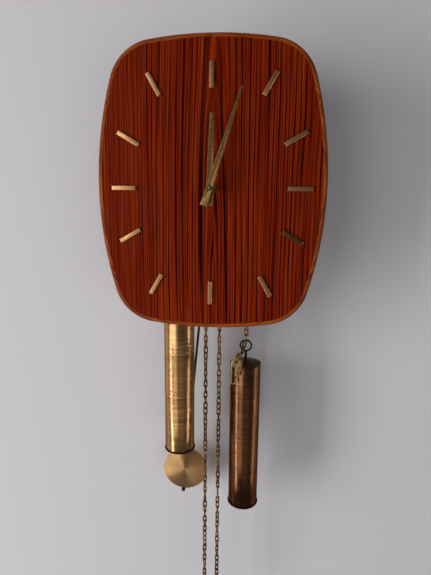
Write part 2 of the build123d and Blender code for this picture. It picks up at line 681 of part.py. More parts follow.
def make_going_train():
    save("time_great_wheel", great_wheel(CHAIN_WHEEL_X, 1, GREAT_TEETH, GREAT_PHASE))
    save("time_click", click(CHAIN_WHEEL_X, 1))
    save("time_chain_wheel", chain_wheel(CHAIN_WHEEL_X))

    centre = along_y(0, 0, CENTRE_ARBOR_FRONT, PLATES_BACK - PIVOT_INSET, CENTRE_ARBOR_R)
    wheel = crossed_wheel(CENTRE_TEETH, CENTRE_MODULE, CENTRE_PHASE, 3.4)
    centre += gear_plate(wheel, CENTRE_WHEEL_Y)
    leaves = pinion(CENTRE_PINION_TEETH, GREAT_MODULE, CENTRE_PINION_PHASE)
    centre += plate(leaves, CENTRE_WHEEL_Y, GREAT_Y + 3.0)
    save("centre_wheel", centre)

    third = arbor(0, THIRD_Z, THIN_ARBOR_R)
    wheel = crossed_wheel(THIRD_TEETH, THIRD_MODULE, THIRD_PHASE, 3.0)
    third += gear_plate(wheel, THIRD_WHEEL_Y, 0, THIRD_Z)
    leaves = pinion(THIRD_PINION_TEETH, CENTRE_MODULE, THIRD_PINION_PHASE)
    third += gear_plate(leaves, CENTRE_WHEEL_Y, 0, THIRD_Z, PINION_L)
    save("third_wheel", third)

    escape = arbor(0, ESCAPE_Z, THIN_ARBOR_R)
    root_r = ESCAPE_R - ESCAPE_TOOTH
    teeth = []
    for tooth in range(ESCAPE_TEETH):
        for radius, share in ((root_r, 0.0), (ESCAPE_R, 0.30), (ESCAPE_R, 0.38), (root_r, 0.34)):
            teeth.append(on_circle((0, 0), radius, (tooth + share) * 360 / ESCAPE_TEETH))
    outline = make_face(Polyline(*teeth, close=True))
    for spoke in range(5):
        outline -= Pos(*on_circle((0, 0), 5.0, 72 * spoke + 36)) * Circle(1.9)
    escape += plate(outline, ESCAPE_Y - 0.5, ESCAPE_Y + 0.5, 0, ESCAPE_Z)
    leaves = pinion(ESCAPE_PINION_TEETH, THIRD_MODULE, ESCAPE_PINION_PHASE)
    escape += plate(leaves, THIRD_WHEEL_Y - 1.5, ESCAPE_Y - 0.4, 0, ESCAPE_Z)
    save("escape_wheel", escape)


# ---------------------------------------------------------------- escapement and pendulum
CRUTCH_Y = PLATES_BACK + 2.6
CRUTCH_SLOT = ROD_W + 0.5
SUSPENSION_TOP = PENDULUM_PIVOT + 7.0
ROD_TOP = PENDULUM_PIVOT - SPRING_HALF


def swung(shape):
    """Set the pendulum and crutch over by the swing, to the left."""
    return about_axis(shape, PENDULUM_SWING, PENDULUM_PIVOT)


def make_anchor():
    reach = PENDULUM_PIVOT - ESCAPE_Z
    pallet_clear = ESCAPE_R + PALLET_CLEAR
    foot = (pallet_clear * sin(radians(42)), pallet_clear * cos(radians(42)) - reach)
    arms = None
    for side in (-1, 1):
        arm = make_face(Polyline(
            (side * -1.5, 2.6), (side * 3.0, 2.4), (side * (foot[0] + 2.2), foot[1] + 5.0),
            (side * (foot[0] + 1.6), foot[1] - 0.6), (side * (foot[0] + 0.2), foot[1] + 0.1),
            (side * (foot[0] - 0.4), foot[1] + 4.6), (side * 1.2, -2.4), close=True))
        arms = arm if arms is None else arms + arm
    arms += Circle(3.0)
    arms -= Pos(0, -reach) * Circle(pallet_clear)
    body = plate(arms, ESCAPE_Y - 0.9, ESCAPE_Y + 0.9, 0, PENDULUM_PIVOT)
    body = swung(body)
    body += along_y(0, PENDULUM_PIVOT, FRONT_PLATE_Y + 0.2, CRUTCH_Y + CRUTCH_THICK / 2, ANCHOR_ARBOR_R)
    save("anchor", body)

    top, end = PENDULUM_PIVOT, PENDULUM_PIVOT - CRUTCH_REACH
    arm = Pos(0, -CRUTCH_REACH / 2) * Rectangle(3.0, CRUTCH_REACH) + Circle(3.0)
    arm -= Circle(ANCHOR_ARBOR_R)
    crutch = plate(arm, CRUTCH_Y - CRUTCH_THICK / 2, CRUTCH_Y + CRUTCH_THICK / 2, 0, top)
    fork_y = PENDULUM_Y + ROD_W / 2 + 2.0
    half = CRUTCH_SLOT / 2
    base = DIAL_Z + end
    bottom, top = base - CRUTCH_PRONG, base + CRUTCH_PRONG
    front, back = CRUTCH_Y - CRUTCH_THICK / 2, CRUTCH_Y + CRUTCH_THICK / 2
    crutch += block(-half - CRUTCH_PRONG, half + CRUTCH_PRONG, front, back, bottom, top)
    for side in (-1, 1):
        x0, x1 = sorted((side * half, side * (half + CRUTCH_PRONG)))
        crutch += block(x0, x1, CRUTCH_Y, fork_y, bottom, top)
    save("crutch", swung(crutch))


def make_suspension():
    """Bracket on the back plate with a slotted block that the suspension spring hangs in."""
    low, high = DIAL_Z + SUSPENSION_TOP - 3.0, DIAL_Z + SUSPENSION_TOP + 6.0
    slot_half = 1.1
    back = PENDULUM_Y + SPRING_W / 2 + 1.5
    bracket = block(-7, 7, PLATES_BACK, back, high - 3.0, high)
    bracket += block(-5, 5, PENDULUM_Y - SPRING_W / 2 - 1.5, back, low, high)
    bracket -= block(-slot_half, slot_half, PENDULUM_Y - SPRING_W / 2 - 0.3, back + 1, low - 1, high - 3.5)
    bracket += block(-9, 9, PLATES_BACK, PLATES_BACK + 1.6, high - 5.0, DIAL_Z + PLATE_TOP)
    save("suspension_cock", bracket)

    high = DIAL_Z + PENDULUM_PIVOT + SPRING_HALF
    half = SPRING_W / 2
    spring = pendulum_bar(SPRING_THICK, SPRING_W, DIAL_Z + ROD_TOP - SPRING_SUNK, high)
    spring += along_y(0, high - DIAL_Z - 0.2, PENDULUM_Y - half, PENDULUM_Y + half, 0.4)
    save("suspension_spring", swung(spring))


def pendulum_bar(width, depth, bottom, top):
    """An upright bar on the pendulum's own centre line, in the clock's frame."""
    y = PENDULUM_Y
    return block(-width / 2, width / 2, y - depth / 2, y + depth / 2, bottom, top)


def make_pendulum():
    bob_z = PENDULUM_PIVOT - PENDULUM_LENGTH
    rod_end = bob_z - BOB_R - ROD_PAST_BOB
    top = DIAL_Z + ROD_TOP
    rod = pendulum_bar(ROD_W, ROD_D, DIAL_Z + rod_end + 8.0, top - ROD_GRIP_H + 2.0)
    rod += upright(0, PENDULUM_Y, rod_end, rod_end + 10.0, ROD_THREAD_R)
    rod += pendulum_bar(ROD_GRIP_W, ROD_GRIP_D, top - ROD_GRIP_H, top)
    rod -= pendulum_bar(SPRING_THICK, SPRING_W, top - SPRING_SUNK, top + 1)
    save("pendulum_rod", swung(rod))

    edge = BOB_EDGE
    lens_r = (BOB_R**2 + (BOB_THICK / 2 - edge)**2) / (2 * (BOB_THICK / 2 - edge))
    profile = make_face([
        Line((0, -BOB_THICK / 2), (0, BOB_THICK / 2)),
        RadiusArc((0, BOB_THICK / 2), (BOB_R, edge), lens_r),
        Line((BOB_R, edge), (BOB_R, -edge)),
        RadiusArc((BOB_R, -edge), (0, -BOB_THICK / 2), lens_r),
    ])
    lens = revolve(Plane.XZ * profile, Axis.Z)
    bob = Pos(0, PENDULUM_Y, DIAL_Z + bob_z) * Rot(90, 0, 0) * lens
    way_z = DIAL_Z + bob_z - BOB_R - 1, DIAL_Z + bob_z + BOB_R + 1
    way = pendulum_bar(ROD_W + 4 * PIVOT_CLEAR, ROD_D + 4 * PIVOT_CLEAR, *way_z)
    save("pendulum_bob", swung(bob - way))

    nut = upright(0, PENDULUM_Y, rod_end + 0.8, rod_end + 0.8 + RATING_NUT_H, RATING_NUT_R)
    nut -= upright(0, PENDULUM_Y, rod_end, rod_end + 7.0, ROD_THREAD_R)
    save("rating_nut", swung(nut))


# ---------------------------------------------------------------- motion work and hands
MOTION_DISTANCE = CANNON_MODULE * (CANNON_TEETH + MINUTE_WHEEL_TEETH) / 2
SECOND_MODULE = 2 * MOTION_DISTANCE / (MINUTE_PINION_TEETH + HOUR_WHEEL_TEETH)
MINUTE_WHEEL_AT = on_circle((0, 0), MOTION_DISTANCE, MOTION_ANGLE)
CANNON_Y = FRONT_PLATE_Y - 2.4
HOUR_WHEEL_Y = FRONT_PLATE_Y - 5.2
HOUR_HAND_Y = FACE_FRONT_Y - 13.4
MINUTE_HAND_Y = FACE_FRONT_Y - 17.0
CENTRE_ARBOR_FRONT = MINUTE_HAND_Y - 2.6


def make_motion_work():
    cannon_front = MINUTE_HAND_Y - HAND_NUT_H
    cannon = along_y(0, 0, MINUTE_HAND_Y + HAND_THICK, FRONT_PLATE_Y - 0.4, CANNON_R)
    cannon += along_y(0, 0, cannon_front, CANNON_Y, CANNON_TIP_R)
    teeth = pinion(CANNON_TEETH, CANNON_MODULE, 0)
    cannon += plate(teeth, CANNON_Y - 1.4, CANNON_Y + 1.4)
    cannon -= along_y(0, 0, cannon_front - 1, FRONT_PLATE_Y + 1, CENTRE_ARBOR_R + PIVOT_CLEAR)
    save("cannon_pinion", cannon)

    x, z = MINUTE_WHEEL_AT
    phase = mesh_phase(MINUTE_WHEEL_TEETH, CANNON_TEETH, 0, MOTION_ANGLE)
    wheel = crossed_wheel(MINUTE_WHEEL_TEETH, CANNON_MODULE, phase, 3.6, spokes=4)
    minute = plate(wheel, CANNON_Y - 0.6, CANNON_Y + 0.6, x, z)
    minute += along_y(x, z, HOUR_WHEEL_Y - 1.4, CANNON_Y + 1.2, 1.9)
    leaves = pinion(MINUTE_PINION_TEETH, SECOND_MODULE, 0)
    minute += plate(leaves, HOUR_WHEEL_Y - 1.4, HOUR_WHEEL_Y + 1.4, x, z)
    minute -= along_y(x, z, FACE_BACK_Y, FRONT_PLATE_Y, STUD_R + PIVOT_CLEAR)
    save("minute_wheel", minute)

    phase = mesh_phase(HOUR_WHEEL_TEETH, MINUTE_PINION_TEETH, 0, MOTION_ANGLE - 180)
    wheel = crossed_wheel(HOUR_WHEEL_TEETH, SECOND_MODULE, phase, 4.4, spokes=4)
    hour = plate(wheel, HOUR_WHEEL_Y - 0.6, HOUR_WHEEL_Y + 0.6)
    hour += along_y(0, 0, HOUR_HAND_Y, HOUR_WHEEL_Y + 0.6, HOUR_PIPE_R)
    hour -= along_y(0, 0, HOUR_HAND_Y - 1, HOUR_WHEEL_Y + 2, CANNON_R + PIVOT_CLEAR)
    save("hour_wheel", hour)


def hand(length, tail, tip_w, tail_w, bore_r, front):
    """A tapering bar with a square-cut tail, bevelled along its front edges."""
    half_tail, half_tip = tail_w / 2, tip_w / 2
    corners = (-half_tail, -tail), (half_tail, -tail), (half_tip, length), (-half_tip, length)
    body = plate(make_face(Polyline(*corners, close=True)), front, front + HAND_THICK)
    body = chamfer(body.faces().sort_by(Axis.Y)[0].edges(), HAND_BEVEL)
    body -= along_y(0, 0, front - 1, front + HAND_THICK + 1, bore_r)
    return body


def make_hands():
    minute = hand(MINUTE_LENGTH, MINUTE_TAIL, MINUTE_TIP_W, MINUTE_TAIL_W, CANNON_TIP_R, MINUTE_HAND_Y)
    save("minute_hand", about_axis(minute, MINUTE_ANGLE))
    hour = hand(HOUR_LENGTH, HOUR_TAIL, HOUR_TIP_W, HOUR_TAIL_W, HOUR_PIPE_R, HOUR_HAND_Y)
    save("hour_hand", about_axis(hour, HOUR_ANGLE))
    nut = plate(Circle(HAND_NUT_R), MINUTE_HAND_Y - HAND_NUT_H, MINUTE_HAND_Y)
    nut = chamfer(nut.faces().sort_by(Axis.Y)[0].edges(), 0.4)
    nut -= along_y(0, 0, MINUTE_HAND_Y - 3, MINUTE_HAND_Y + 1, CANNON_TIP_R)
    save("hand_nut", nut)


# ---------------------------------------------------------------- striking train
PIN_WHEEL_Y = THIRD_WHEEL_Y
WARNING_WHEEL_Y = CENTRE_WHEEL_Y


def make_strike_train():
    save("strike_great_wheel", great_wheel(-CHAIN_WHEEL_X, -1, STRIKE_GREAT_TEETH, STRIKE_PHASE))
    save("strike_click", click(-CHAIN_WHEEL_X, -1))
    save("strike_chain_wheel", chain_wheel(-CHAIN_WHEEL_X))

    x, z = PIN_AT
    way = direction(-CHAIN_WHEEL_X, GREAT_Z, x, z)
    phase = mesh_phase(CENTRE_PINION_TEETH, STRIKE_GREAT_TEETH, STRIKE_PHASE, way)
    pin = arbor(x, z, 1.2)
    pin += gear_plate(pinion(CENTRE_PINION_TEETH, GREAT_MODULE, phase), GREAT_Y, x, z, 1.5 * PINION_L)
    wheel = crossed_wheel(PIN_TEETH, PIN_MODULE, 0, 3.0)
    pin += gear_plate(wheel, PIN_WHEEL_Y, x, z)
    for number in range(STRIKE_PINS):
        px, pz = on_circle((x, z), STRIKE_PIN_R, 360 / STRIKE_PINS * number)
        pin += along_y(px, pz, PIN_WHEEL_Y, PIN_WHEEL_Y + 3.4, 0.5)
    save("pin_wheel", pin)

    wx, wz = WARNING_AT
    phase = mesh_phase(WARNING_PINION_TEETH, PIN_TEETH, 0, direction(x, z, wx, wz))
    warning = arbor(wx, wz, THIN_ARBOR_R)
    warning += gear_plate(pinion(WARNING_PINION_TEETH, PIN_MODULE, phase), PIN_WHEEL_Y, wx, wz, PINION_L)
    wheel = crossed_wheel(WARNING_TEETH, WARNING_MODULE, 0, 2.8)
    warning += gear_plate(wheel, WARNING_WHEEL_Y, wx, wz)
    save("warning_wheel", warning)

    fx, fz = FLY_AT
    phase = mesh_phase(FLY_PINION_TEETH, WARNING_TEETH, 0, direction(wx, wz, fx, fz))
    fly = arbor(fx, fz, 0.95)
    leaves = pinion(FLY_PINION_TEETH, WARNING_MODULE, phase)
    fly += gear_plate(leaves, WARNING_WHEEL_Y, fx, fz, PINION_L)
    fly += plate(Rectangle(FLY_W, FLY_THICK), FLY_FRONT, FLY_BACK, fx, fz)
    fly += along_y(fx, fz, FLY_FRONT, FLY_BACK, 1.5)
    save("fly", fly)


def make_hammer_and_gong():
    hx, hz = HAMMER_AT
    x, z = PIN_AT
    tail_end = on_circle((x, z), STRIKE_PIN_R + 2.0, 86.0)
    arm_y = sum(GONG_ROD_YS) / 2
    hammer = along_y(hx, hz, PLATES_FRONT + ARBOR_SHOULDER, arm_y + 1.0, HAMMER_ARBOR_R)
    hammer += along_y(hx, hz, FRONT_PLATE_Y + PIVOT_INSET, PLATES_FRONT + 0.5, PIVOT_R)
    length = hypot(tail_end[0] - hx, tail_end[1] - hz)
    angle = direction(hx, hz, tail_end[0], tail_end[1])
    tail = Rot(0, 0, angle) * Rectangle(length, 1.6, align=(Align.MIN, Align.CENTER)) + Circle(2.4)
    hammer += plate(tail, PIN_WHEEL_Y + 1.6, PIN_WHEEL_Y + 3.2, hx, hz)
    arm = Pos(0, (HAMMER_HEAD_Z - hz) / 2) * Rectangle(1.6, HAMMER_HEAD_Z - hz) + Circle(2.6)
    hammer += plate(arm, arm_y - 1.0, arm_y + 1.0, hx, hz)
    head = Rot(0, 90, 0) * Cylinder(HAMMER_HEAD_R, HAMMER_HEAD_LENGTH)
    head_x = hx - HAMMER_HEAD_LENGTH / 2 - 1.5
    hammer += Pos(head_x, arm_y, DIAL_Z + HAMMER_HEAD_Z) * head
    hammer += block(head_x, hx, arm_y - 1.0, arm_y + 1.0, DIAL_Z + HAMMER_HEAD_Z - 2, DIAL_Z + HAMMER_HEAD_Z)
    save("hammer", hammer)

    gong_z = DIAL_Z + GONG_BOTTOM, DIAL_Z + GONG_TOP
    gong = block(-CASE_IN_W + 0.2, -40.0, min(GONG_ROD_YS) - 4.0, BACK_PANEL_Y, *gong_z)
    for y in GONG_ROD_YS:
        gong -= upright(GONG_ROD_X, y, GONG_BOTTOM - 1, GONG_TOP + 1, GONG_ROD_R)
    for x in GONG_SCREW_X:
        gong -= along_y(x, GONG_SCREW_Z, BACK_PANEL_Y - 8.0, BACK_PANEL_Y, SCREW_R)
    save("gong_block", gong)
    rods = [upright(GONG_ROD_X, y, bottom, GONG_TOP, GONG_ROD_R)
            for y, bottom in zip(GONG_ROD_YS, GONG_ROD_ENDS)]
    save("gong_rods", group(rods))


# ---------------------------------------------------------------- chains and weights
def bend_radii(points):
    """Each corner's arc, as large as its two runs allow."""
    radii = []
    for before, corner, after in zip(points, points[1:], points[2:]):
        run_in, run_out = Vector(*corner) - Vector(*before), Vector(*after) - Vector(*corner)
        half_turn = radians(run_in.get_angle(run_out)) / 2
        radii.append(0.45 * min(run_in.length, run_out.length) / tan(half_turn))
    return radii


def chain_end():
    """The spare links beyond the time weight's ring, lying over the weight's edge."""
    ring_z = TIME_WEIGHT_TOP + EYE_RISE
    hook_y = HOOK_Y + HOOK_THICK / 2
    start_y = CHAIN_Y - EYE_WIRE_R - CHAIN_W / 2 - 0.2
    points = [(WEIGHT_X - 0.6, start_y, DIAL_Z + ring_z + 1.5),
              (WEIGHT_X - 4.5, start_y - 9.0, DIAL_Z + ring_z - 2.5),
              (HOOK_X + 1.5, hook_y, DIAL_Z + HOOK_TOP + 6.5),
              (HOOK_X, hook_y, DIAL_Z + HOOK_TOP + CHAIN_GAP + 0.9)]
    path = FilletPolyline(*points, radius=bend_radii(points))
    section = Plane(origin=path @ 0, z_dir=path % 0) * Circle(CHAIN_W / 2)
    return sweep(section, path=path)


def make_chain(name, side, weight_top):
    """One chain's run down to its weight, and its half turn over the chain wheel."""
    ring_z = weight_top + EYE_RISE
    run_end = ring_z + EYE_R + EYE_WIRE_R + CHAIN_GAP
    run = upright(side * WEIGHT_X, CHAIN_Y, run_end, GREAT_Z - CHAIN_GAP, CHAIN_W / 2)
    spare = [chain_end()] if name == "time" else []
    save(f"{name}_chain", group([run] + spare))

    ring = Torus(CHAIN_PITCH_R, CHAIN_W / 2)
    wheel_at = Pos(side * CHAIN_WHEEL_X, CHAIN_Y, DIAL_Z + GREAT_Z)
    lower = CHAIN_PITCH_R + CHAIN_W
    over = wheel_at * Rot(90, 0, 0) * ring
    over -= wheel_at * Pos(0, 0, -lower / 2) * Box(2 * lower, 2 * CHAIN_W, lower)
    save(f"{name}_chain_wrap", over)


def make_tail(name, side, end):
    tail = upright(side * TAIL_X, CHAIN_Y, end, GREAT_Z - CHAIN_GAP, CHAIN_W / 2)
    save(f"{name}_chain_tail", tail)
    ring_z = DIAL_Z + end - RING_R - RING_WIRE_R
    ring = Pos(side * TAIL_X, CHAIN_Y, ring_z) * Rot(90, 0, 0) * Torus(RING_R, RING_WIRE_R)
    save(f"{name}_tail_ring", ring)


def make_chain_hook():
    """Flat stamped hook on the spare links: a closed loop at the left and a tapering point at the right."""
    half = HOOK_WIDTH / 2
    head = Pos(0, -half) * Circle(half)
    loop_x, loop_z = HOOK_LOOP_R - half, HOOK_LOOP_R - HOOK_LENGTH
    stem = Polyline((-half, -half), (-half, loop_z), (loop_x + HOOK_LOOP_R, loop_z),
                    (0, HOOK_POINT[1] + 2.0), HOOK_POINT, (half - 0.3, -13.0), (half, -half), close=True)
    shape = head + make_face(stem) + Pos(loop_x, loop_z) * Circle(HOOK_LOOP_R)
    shape -= Pos(*HOOK_HOLE_AT) * Circle(HOOK_HOLE_R)
    slot_end = loop_z - HOOK_SLOT_W / 2
    slot = SlotOverall(HOOK_SLOT_TOP - slot_end, HOOK_SLOT_W, rotation=90)
    shape -= Pos(loop_x, (HOOK_SLOT_TOP + slot_end) / 2) * slot
    mouth_x = loop_x + HOOK_LOOP_R + 1
    corners = (loop_x, HOOK_MOUTH_TOP), (mouth_x, HOOK_MOUTH_END), (mouth_x, HOOK_MOUTH_TOP)
    shape -= make_face(Polyline(*corners, close=True))
    hook = plate(shape, HOOK_Y, HOOK_Y + HOOK_THICK, HOOK_X, HOOK_TOP)
    save("time_chain_hook", hook)


def make_weight(name, side, top):
    x, bottom = side * WEIGHT_X, top - WEIGHT_LENGTH
    inner_r = WEIGHT_R - WEIGHT_WALL
    shell = upright(x, CHAIN_Y, bottom, top, WEIGHT_R) - upright(x, CHAIN_Y, bottom - 1, top + 1, inner_r)
    save(f"{name}_weight_shell", shell)

    foot = upright(x, CHAIN_Y, bottom - CAP_FOOT, bottom, WEIGHT_R + WEIGHT_LIP)
    foot = fillet(foot.edges().filter_by(GeomType.CIRCLE), 0.5)
    foot += upright(x, CHAIN_Y, bottom, bottom + CAP_PLUG, inner_r)
    lid = upright(x, CHAIN_Y, top, top + CAP_LID, WEIGHT_R + 0.4)
    lid = fillet(lid.edges().filter_by(GeomType.CIRCLE), 0.4)
    lid += upright(x, CHAIN_Y, top - CAP_PLUG, top, inner_r)
    lid += Pos(x, CHAIN_Y, DIAL_Z + top + CAP_LID + DOME_H / 2) * Cone(DOME_R, DOME_TOP_R, DOME_H)
    lid -= upright(x, CHAIN_Y, top - 4, top + 8, STEM_R)
    save(f"{name}_weight_caps", group([foot, lid]))

    core = upright(x, CHAIN_Y, bottom + CAP_PLUG, top - CAP_PLUG, inner_r - CORE_GAP)
    core -= upright(x, CHAIN_Y, top - CAP_PLUG - STEM_GRIP, top, STEM_R)
    save(f"{name}_weight_core", core)

    ring_z = top + EYE_RISE
    eye = Pos(x, CHAIN_Y, DIAL_Z + ring_z) * Rot(90, 0, 0) * Torus(EYE_R, EYE_WIRE_R)
    eye += upright(x, CHAIN_Y, top - CAP_PLUG - STEM_GRIP, ring_z - EYE_R, STEM_R)
    save(f"{name}_weight_eye", eye)


# ---------------------------------------------------------------- build
side_screws, board_holes = make_case()
make_face_parts(board_holes)
make_hour_markers()
make_hanger()
make_case_screws(side_screws)
make_plates()
make_going_train()
make_anchor()
make_suspension()
make_pendulum()
make_motion_work()
make_hands()
make_strike_train()
make_hammer_and_gong()
sets = (("time", 1, TIME_WEIGHT_TOP, TIME_TAIL_END), ("strike", -1, STRIKE_WEIGHT_TOP, STRIKE_TAIL_END))
for name, side, top, end in sets:
    make_chain(name, side, top)
    make_tail(name, side, end)
    make_weight(name, side, top)
make_chain_hook()
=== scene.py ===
# %% [markdown]
# # A chain-driven pendulum wall clock
# The clock is made in two steps. Its frame, sizes and joints come from a CAD model, and this script gives
# it its looks: wood grain, brushed brass, chains made link by link, soft light and a camera. Each cell
# first says what the real piece is, how it could be made in Blender, and why one way was chosen.

# %% Load the frame
import json
import random
from math import cos, pi, radians, sin

import bpy
from mathutils import Matrix, Vector

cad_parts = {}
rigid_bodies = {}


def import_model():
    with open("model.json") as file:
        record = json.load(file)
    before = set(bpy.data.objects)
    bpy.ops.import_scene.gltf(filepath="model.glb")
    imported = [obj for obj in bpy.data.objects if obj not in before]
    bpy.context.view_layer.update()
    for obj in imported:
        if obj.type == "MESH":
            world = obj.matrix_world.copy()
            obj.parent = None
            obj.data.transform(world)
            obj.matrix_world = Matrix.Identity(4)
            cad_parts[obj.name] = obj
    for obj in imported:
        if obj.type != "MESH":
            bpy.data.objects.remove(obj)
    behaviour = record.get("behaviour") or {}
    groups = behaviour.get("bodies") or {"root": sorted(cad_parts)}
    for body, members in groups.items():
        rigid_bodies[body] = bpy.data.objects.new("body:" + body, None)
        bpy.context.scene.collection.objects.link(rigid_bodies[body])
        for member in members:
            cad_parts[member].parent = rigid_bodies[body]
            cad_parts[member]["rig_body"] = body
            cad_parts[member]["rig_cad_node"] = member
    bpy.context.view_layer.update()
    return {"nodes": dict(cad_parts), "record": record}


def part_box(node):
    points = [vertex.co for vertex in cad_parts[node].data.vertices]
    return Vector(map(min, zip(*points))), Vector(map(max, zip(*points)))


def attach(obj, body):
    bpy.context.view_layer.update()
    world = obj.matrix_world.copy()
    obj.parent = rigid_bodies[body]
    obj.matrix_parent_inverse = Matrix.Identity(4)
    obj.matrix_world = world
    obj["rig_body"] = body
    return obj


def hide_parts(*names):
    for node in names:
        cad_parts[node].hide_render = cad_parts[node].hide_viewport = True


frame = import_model()
nodes = frame["nodes"]
MM = 0.001
random.seed(7)
print("pieces in the frame:", len(nodes))

# %% [markdown]
# ## The camera
# The clock hangs at eye level and is seen from close by with a wide lens, a little from the right and
# looking down. A wide lens this near makes the weights, which hang deeper than the face, look smaller
# than they are, so the lens and the distance matter as much as the angle.

# %% Camera
camera_data = bpy.data.cameras.new("camera")
camera_data.lens = 27.05
camera_data.clip_start = 0.01
camera = bpy.data.objects.new("camera", camera_data)
camera.location = (0.0444, -0.5735, -0.1260)
camera.rotation_euler = (radians(79.6), radians(-0.565), radians(4.649))
bpy.context.scene.collection.objects.link(camera)
bpy.context.scene.camera = camera
bpy.context.scene.view_settings.view_transform = "Standard"

# %% [markdown]
# ## Small helpers
# Operators act on whatever is selected, and a freshly loaded frame is all selected, so every cell starts
# from an empty selection. A finished piece keeps its place in its mesh, so transforms are applied at the
# end.


# %% Selection and finishing helpers
def clear_selection():
    bpy.ops.object.select_all(action="DESELECT")
    bpy.context.view_layer.objects.active = None


def pick(obj):
    clear_selection()
    obj.select_set(True)
    bpy.context.view_layer.objects.active = obj


def settle(obj):
    """Put the object at the origin, unturned and unscaled, with its place in its mesh."""
    pick(obj)
    bpy.ops.object.transform_apply(location=True, rotation=True, scale=True)


def apply_modifiers(obj):
    pick(obj)
    for modifier in list(obj.modifiers):
        bpy.ops.object.modifier_apply(modifier=modifier.name)


def smooth(obj, angle=35):
    pick(obj)
    bpy.ops.object.shade_smooth_by_angle(angle=radians(angle))


def join(objects, name):
    clear_selection()
    for obj in objects:
        obj.select_set(True)
    bpy.context.view_layer.objects.active = objects[0]
    bpy.ops.object.join()
    objects[0].name = name
    return objects[0]


# %% [markdown]
# ## Shared effects
# Brushing, grain and tarnish appear on several finishes. Each is one shader node group with named inputs,
# so a change to the effect reaches every finish that uses it. A group puts out masks and values only, and
# the shader itself stays in each material.


# %% Node helpers
def new_group(name, inputs, outputs):
    """An empty shader group with its sockets: (name, type, default) and (name, type)."""
    group = bpy.data.node_groups.new(name, "ShaderNodeTree")
    for label, kind, default in inputs:
        socket = group.interface.new_socket(name=label, in_out="INPUT", socket_type=kind)
        if default is not None:
            socket.default_value = default
    for label, kind in outputs:
        group.interface.new_socket(name=label, in_out="OUTPUT", socket_type=kind)
    start = group.nodes.new("NodeGroupInput")
    end = group.nodes.new("NodeGroupOutput")
    return group, start, end


def math_node(tree, operation, first, second=None, clamp=False):
    node = tree.nodes.new("ShaderNodeMath")
    node.operation = operation
    node.use_clamp = clamp
    for socket, value in zip(node.inputs, (first, second)):
        if value is None:
            continue
        if isinstance(value, (int, float)):
            socket.default_value = value
        else:
            tree.links.new(value, socket)
    return node.outputs[0]


def plus(tree, first, second, clamp=False):
    return math_node(tree, "ADD", first, second, clamp)


def minus(tree, first, second, clamp=False):
    return math_node(tree, "SUBTRACT", first, second, clamp)


def times(tree, first, second, clamp=False):
    return math_node(tree, "MULTIPLY", first, second, clamp)


def above(tree, value, start, slope):
    """Zero up to start, then rising at this slope as far as one."""
    return times(tree, minus(tree, value, start), slope, clamp=True)


def ramp(tree, value, stops):
    """A colour ramp through stops of (position, colour)."""
    node = tree.nodes.new("ShaderNodeValToRGB")
    elements = node.color_ramp.elements
    while len(elements) < len(stops):
        elements.new(0.5)
    for element, (position, colour) in zip(elements, stops):
        element.position = position
        element.color = (*colour, 1.0)
    tree.links.new(value, node.inputs[0])
    return node.outputs[0]


def blend_colours(tree, share, first, second, mode="MIX"):
    node = tree.nodes.new("ShaderNodeMix")
    node.data_type = "RGBA"
    node.blend_type = mode
    for socket, value in ((node.inputs[0], share), (node.inputs[6], first), (node.inputs[7], second)):
        if isinstance(value, (int, float)):
            socket.default_value = value
        elif isinstance(value, tuple):
            socket.default_value = (*value, 1.0)
        else:
            tree.links.new(value, socket)
    return node.outputs[2]


def noise(tree, vector, scale, detail=2.0, roughness=0.5, distortion=0.0):
    node = tree.nodes.new("ShaderNodeTexNoise")
    node.inputs["Scale"].default_value = scale
    node.inputs["Detail"].default_value = detail
    node.inputs["Roughness"].default_value = roughness
    node.inputs["Distortion"].default_value = distortion
    tree.links.new(vector, node.inputs["Vector"])
    return node.outputs[0]


def stretch(tree, vector, scale):
    """Scale a pattern unevenly: a small share along an axis draws it out along that axis."""
    node = tree.nodes.new("ShaderNodeMapping")
    node.inputs["Scale"].default_value = scale
    tree.links.new(vector, node.inputs["Vector"])
    return node.outputs[0]


def place(tree):
    return tree.nodes.new("ShaderNodeTexCoord").outputs["Object"]


def split(tree, vector):
    node = tree.nodes.new("ShaderNodeSeparateXYZ")
    tree.links.new(vector, node.inputs[0])
    return node.outputs


def combine(tree, x, y, z):
    node = tree.nodes.new("ShaderNodeCombineXYZ")
    for socket, value in zip(node.inputs, (x, y, z)):
        if isinstance(value, (int, float)):
            socket.default_value = value
        else:
            tree.links.new(value, socket)
    return node.outputs[0]


def add_group(tree, group, **values):
    node = tree.nodes.new("ShaderNodeGroup")
    node.node_tree = group
    for label, value in values.items():
        socket = node.inputs[label]
        if isinstance(value, (int, float)):
            socket.default_value = value
        else:
            tree.links.new(value, socket)
    return node


# %% Shared groups: brushing and tarnish
def make_brushing():
    """Fine parallel scratches. The vector is stretched by the caller, so the lines run where the tool ran."""
    sockets = [("Vector", "NodeSocketVector", None), ("Contrast", "NodeSocketFloat", 0.5)]
    group, start, end = new_group("brushing", sockets, [("Lines", "NodeSocketFloat")])
    coarse = noise(group, start.outputs["Vector"], scale=260.0, detail=3.0, roughness=0.6)
    fine = noise(group, start.outputs["Vector"], scale=1500.0, detail=2.0, roughness=0.6)
    both = plus(group, times(group, coarse, 0.6), times(group, fine, 0.4))
    centred = minus(group, both, 0.5)
    scaled = times(group, centred, start.outputs["Contrast"])
    lines = plus(group, scaled, 0.5, clamp=True)
    group.links.new(lines, end.inputs["Lines"])
    return group


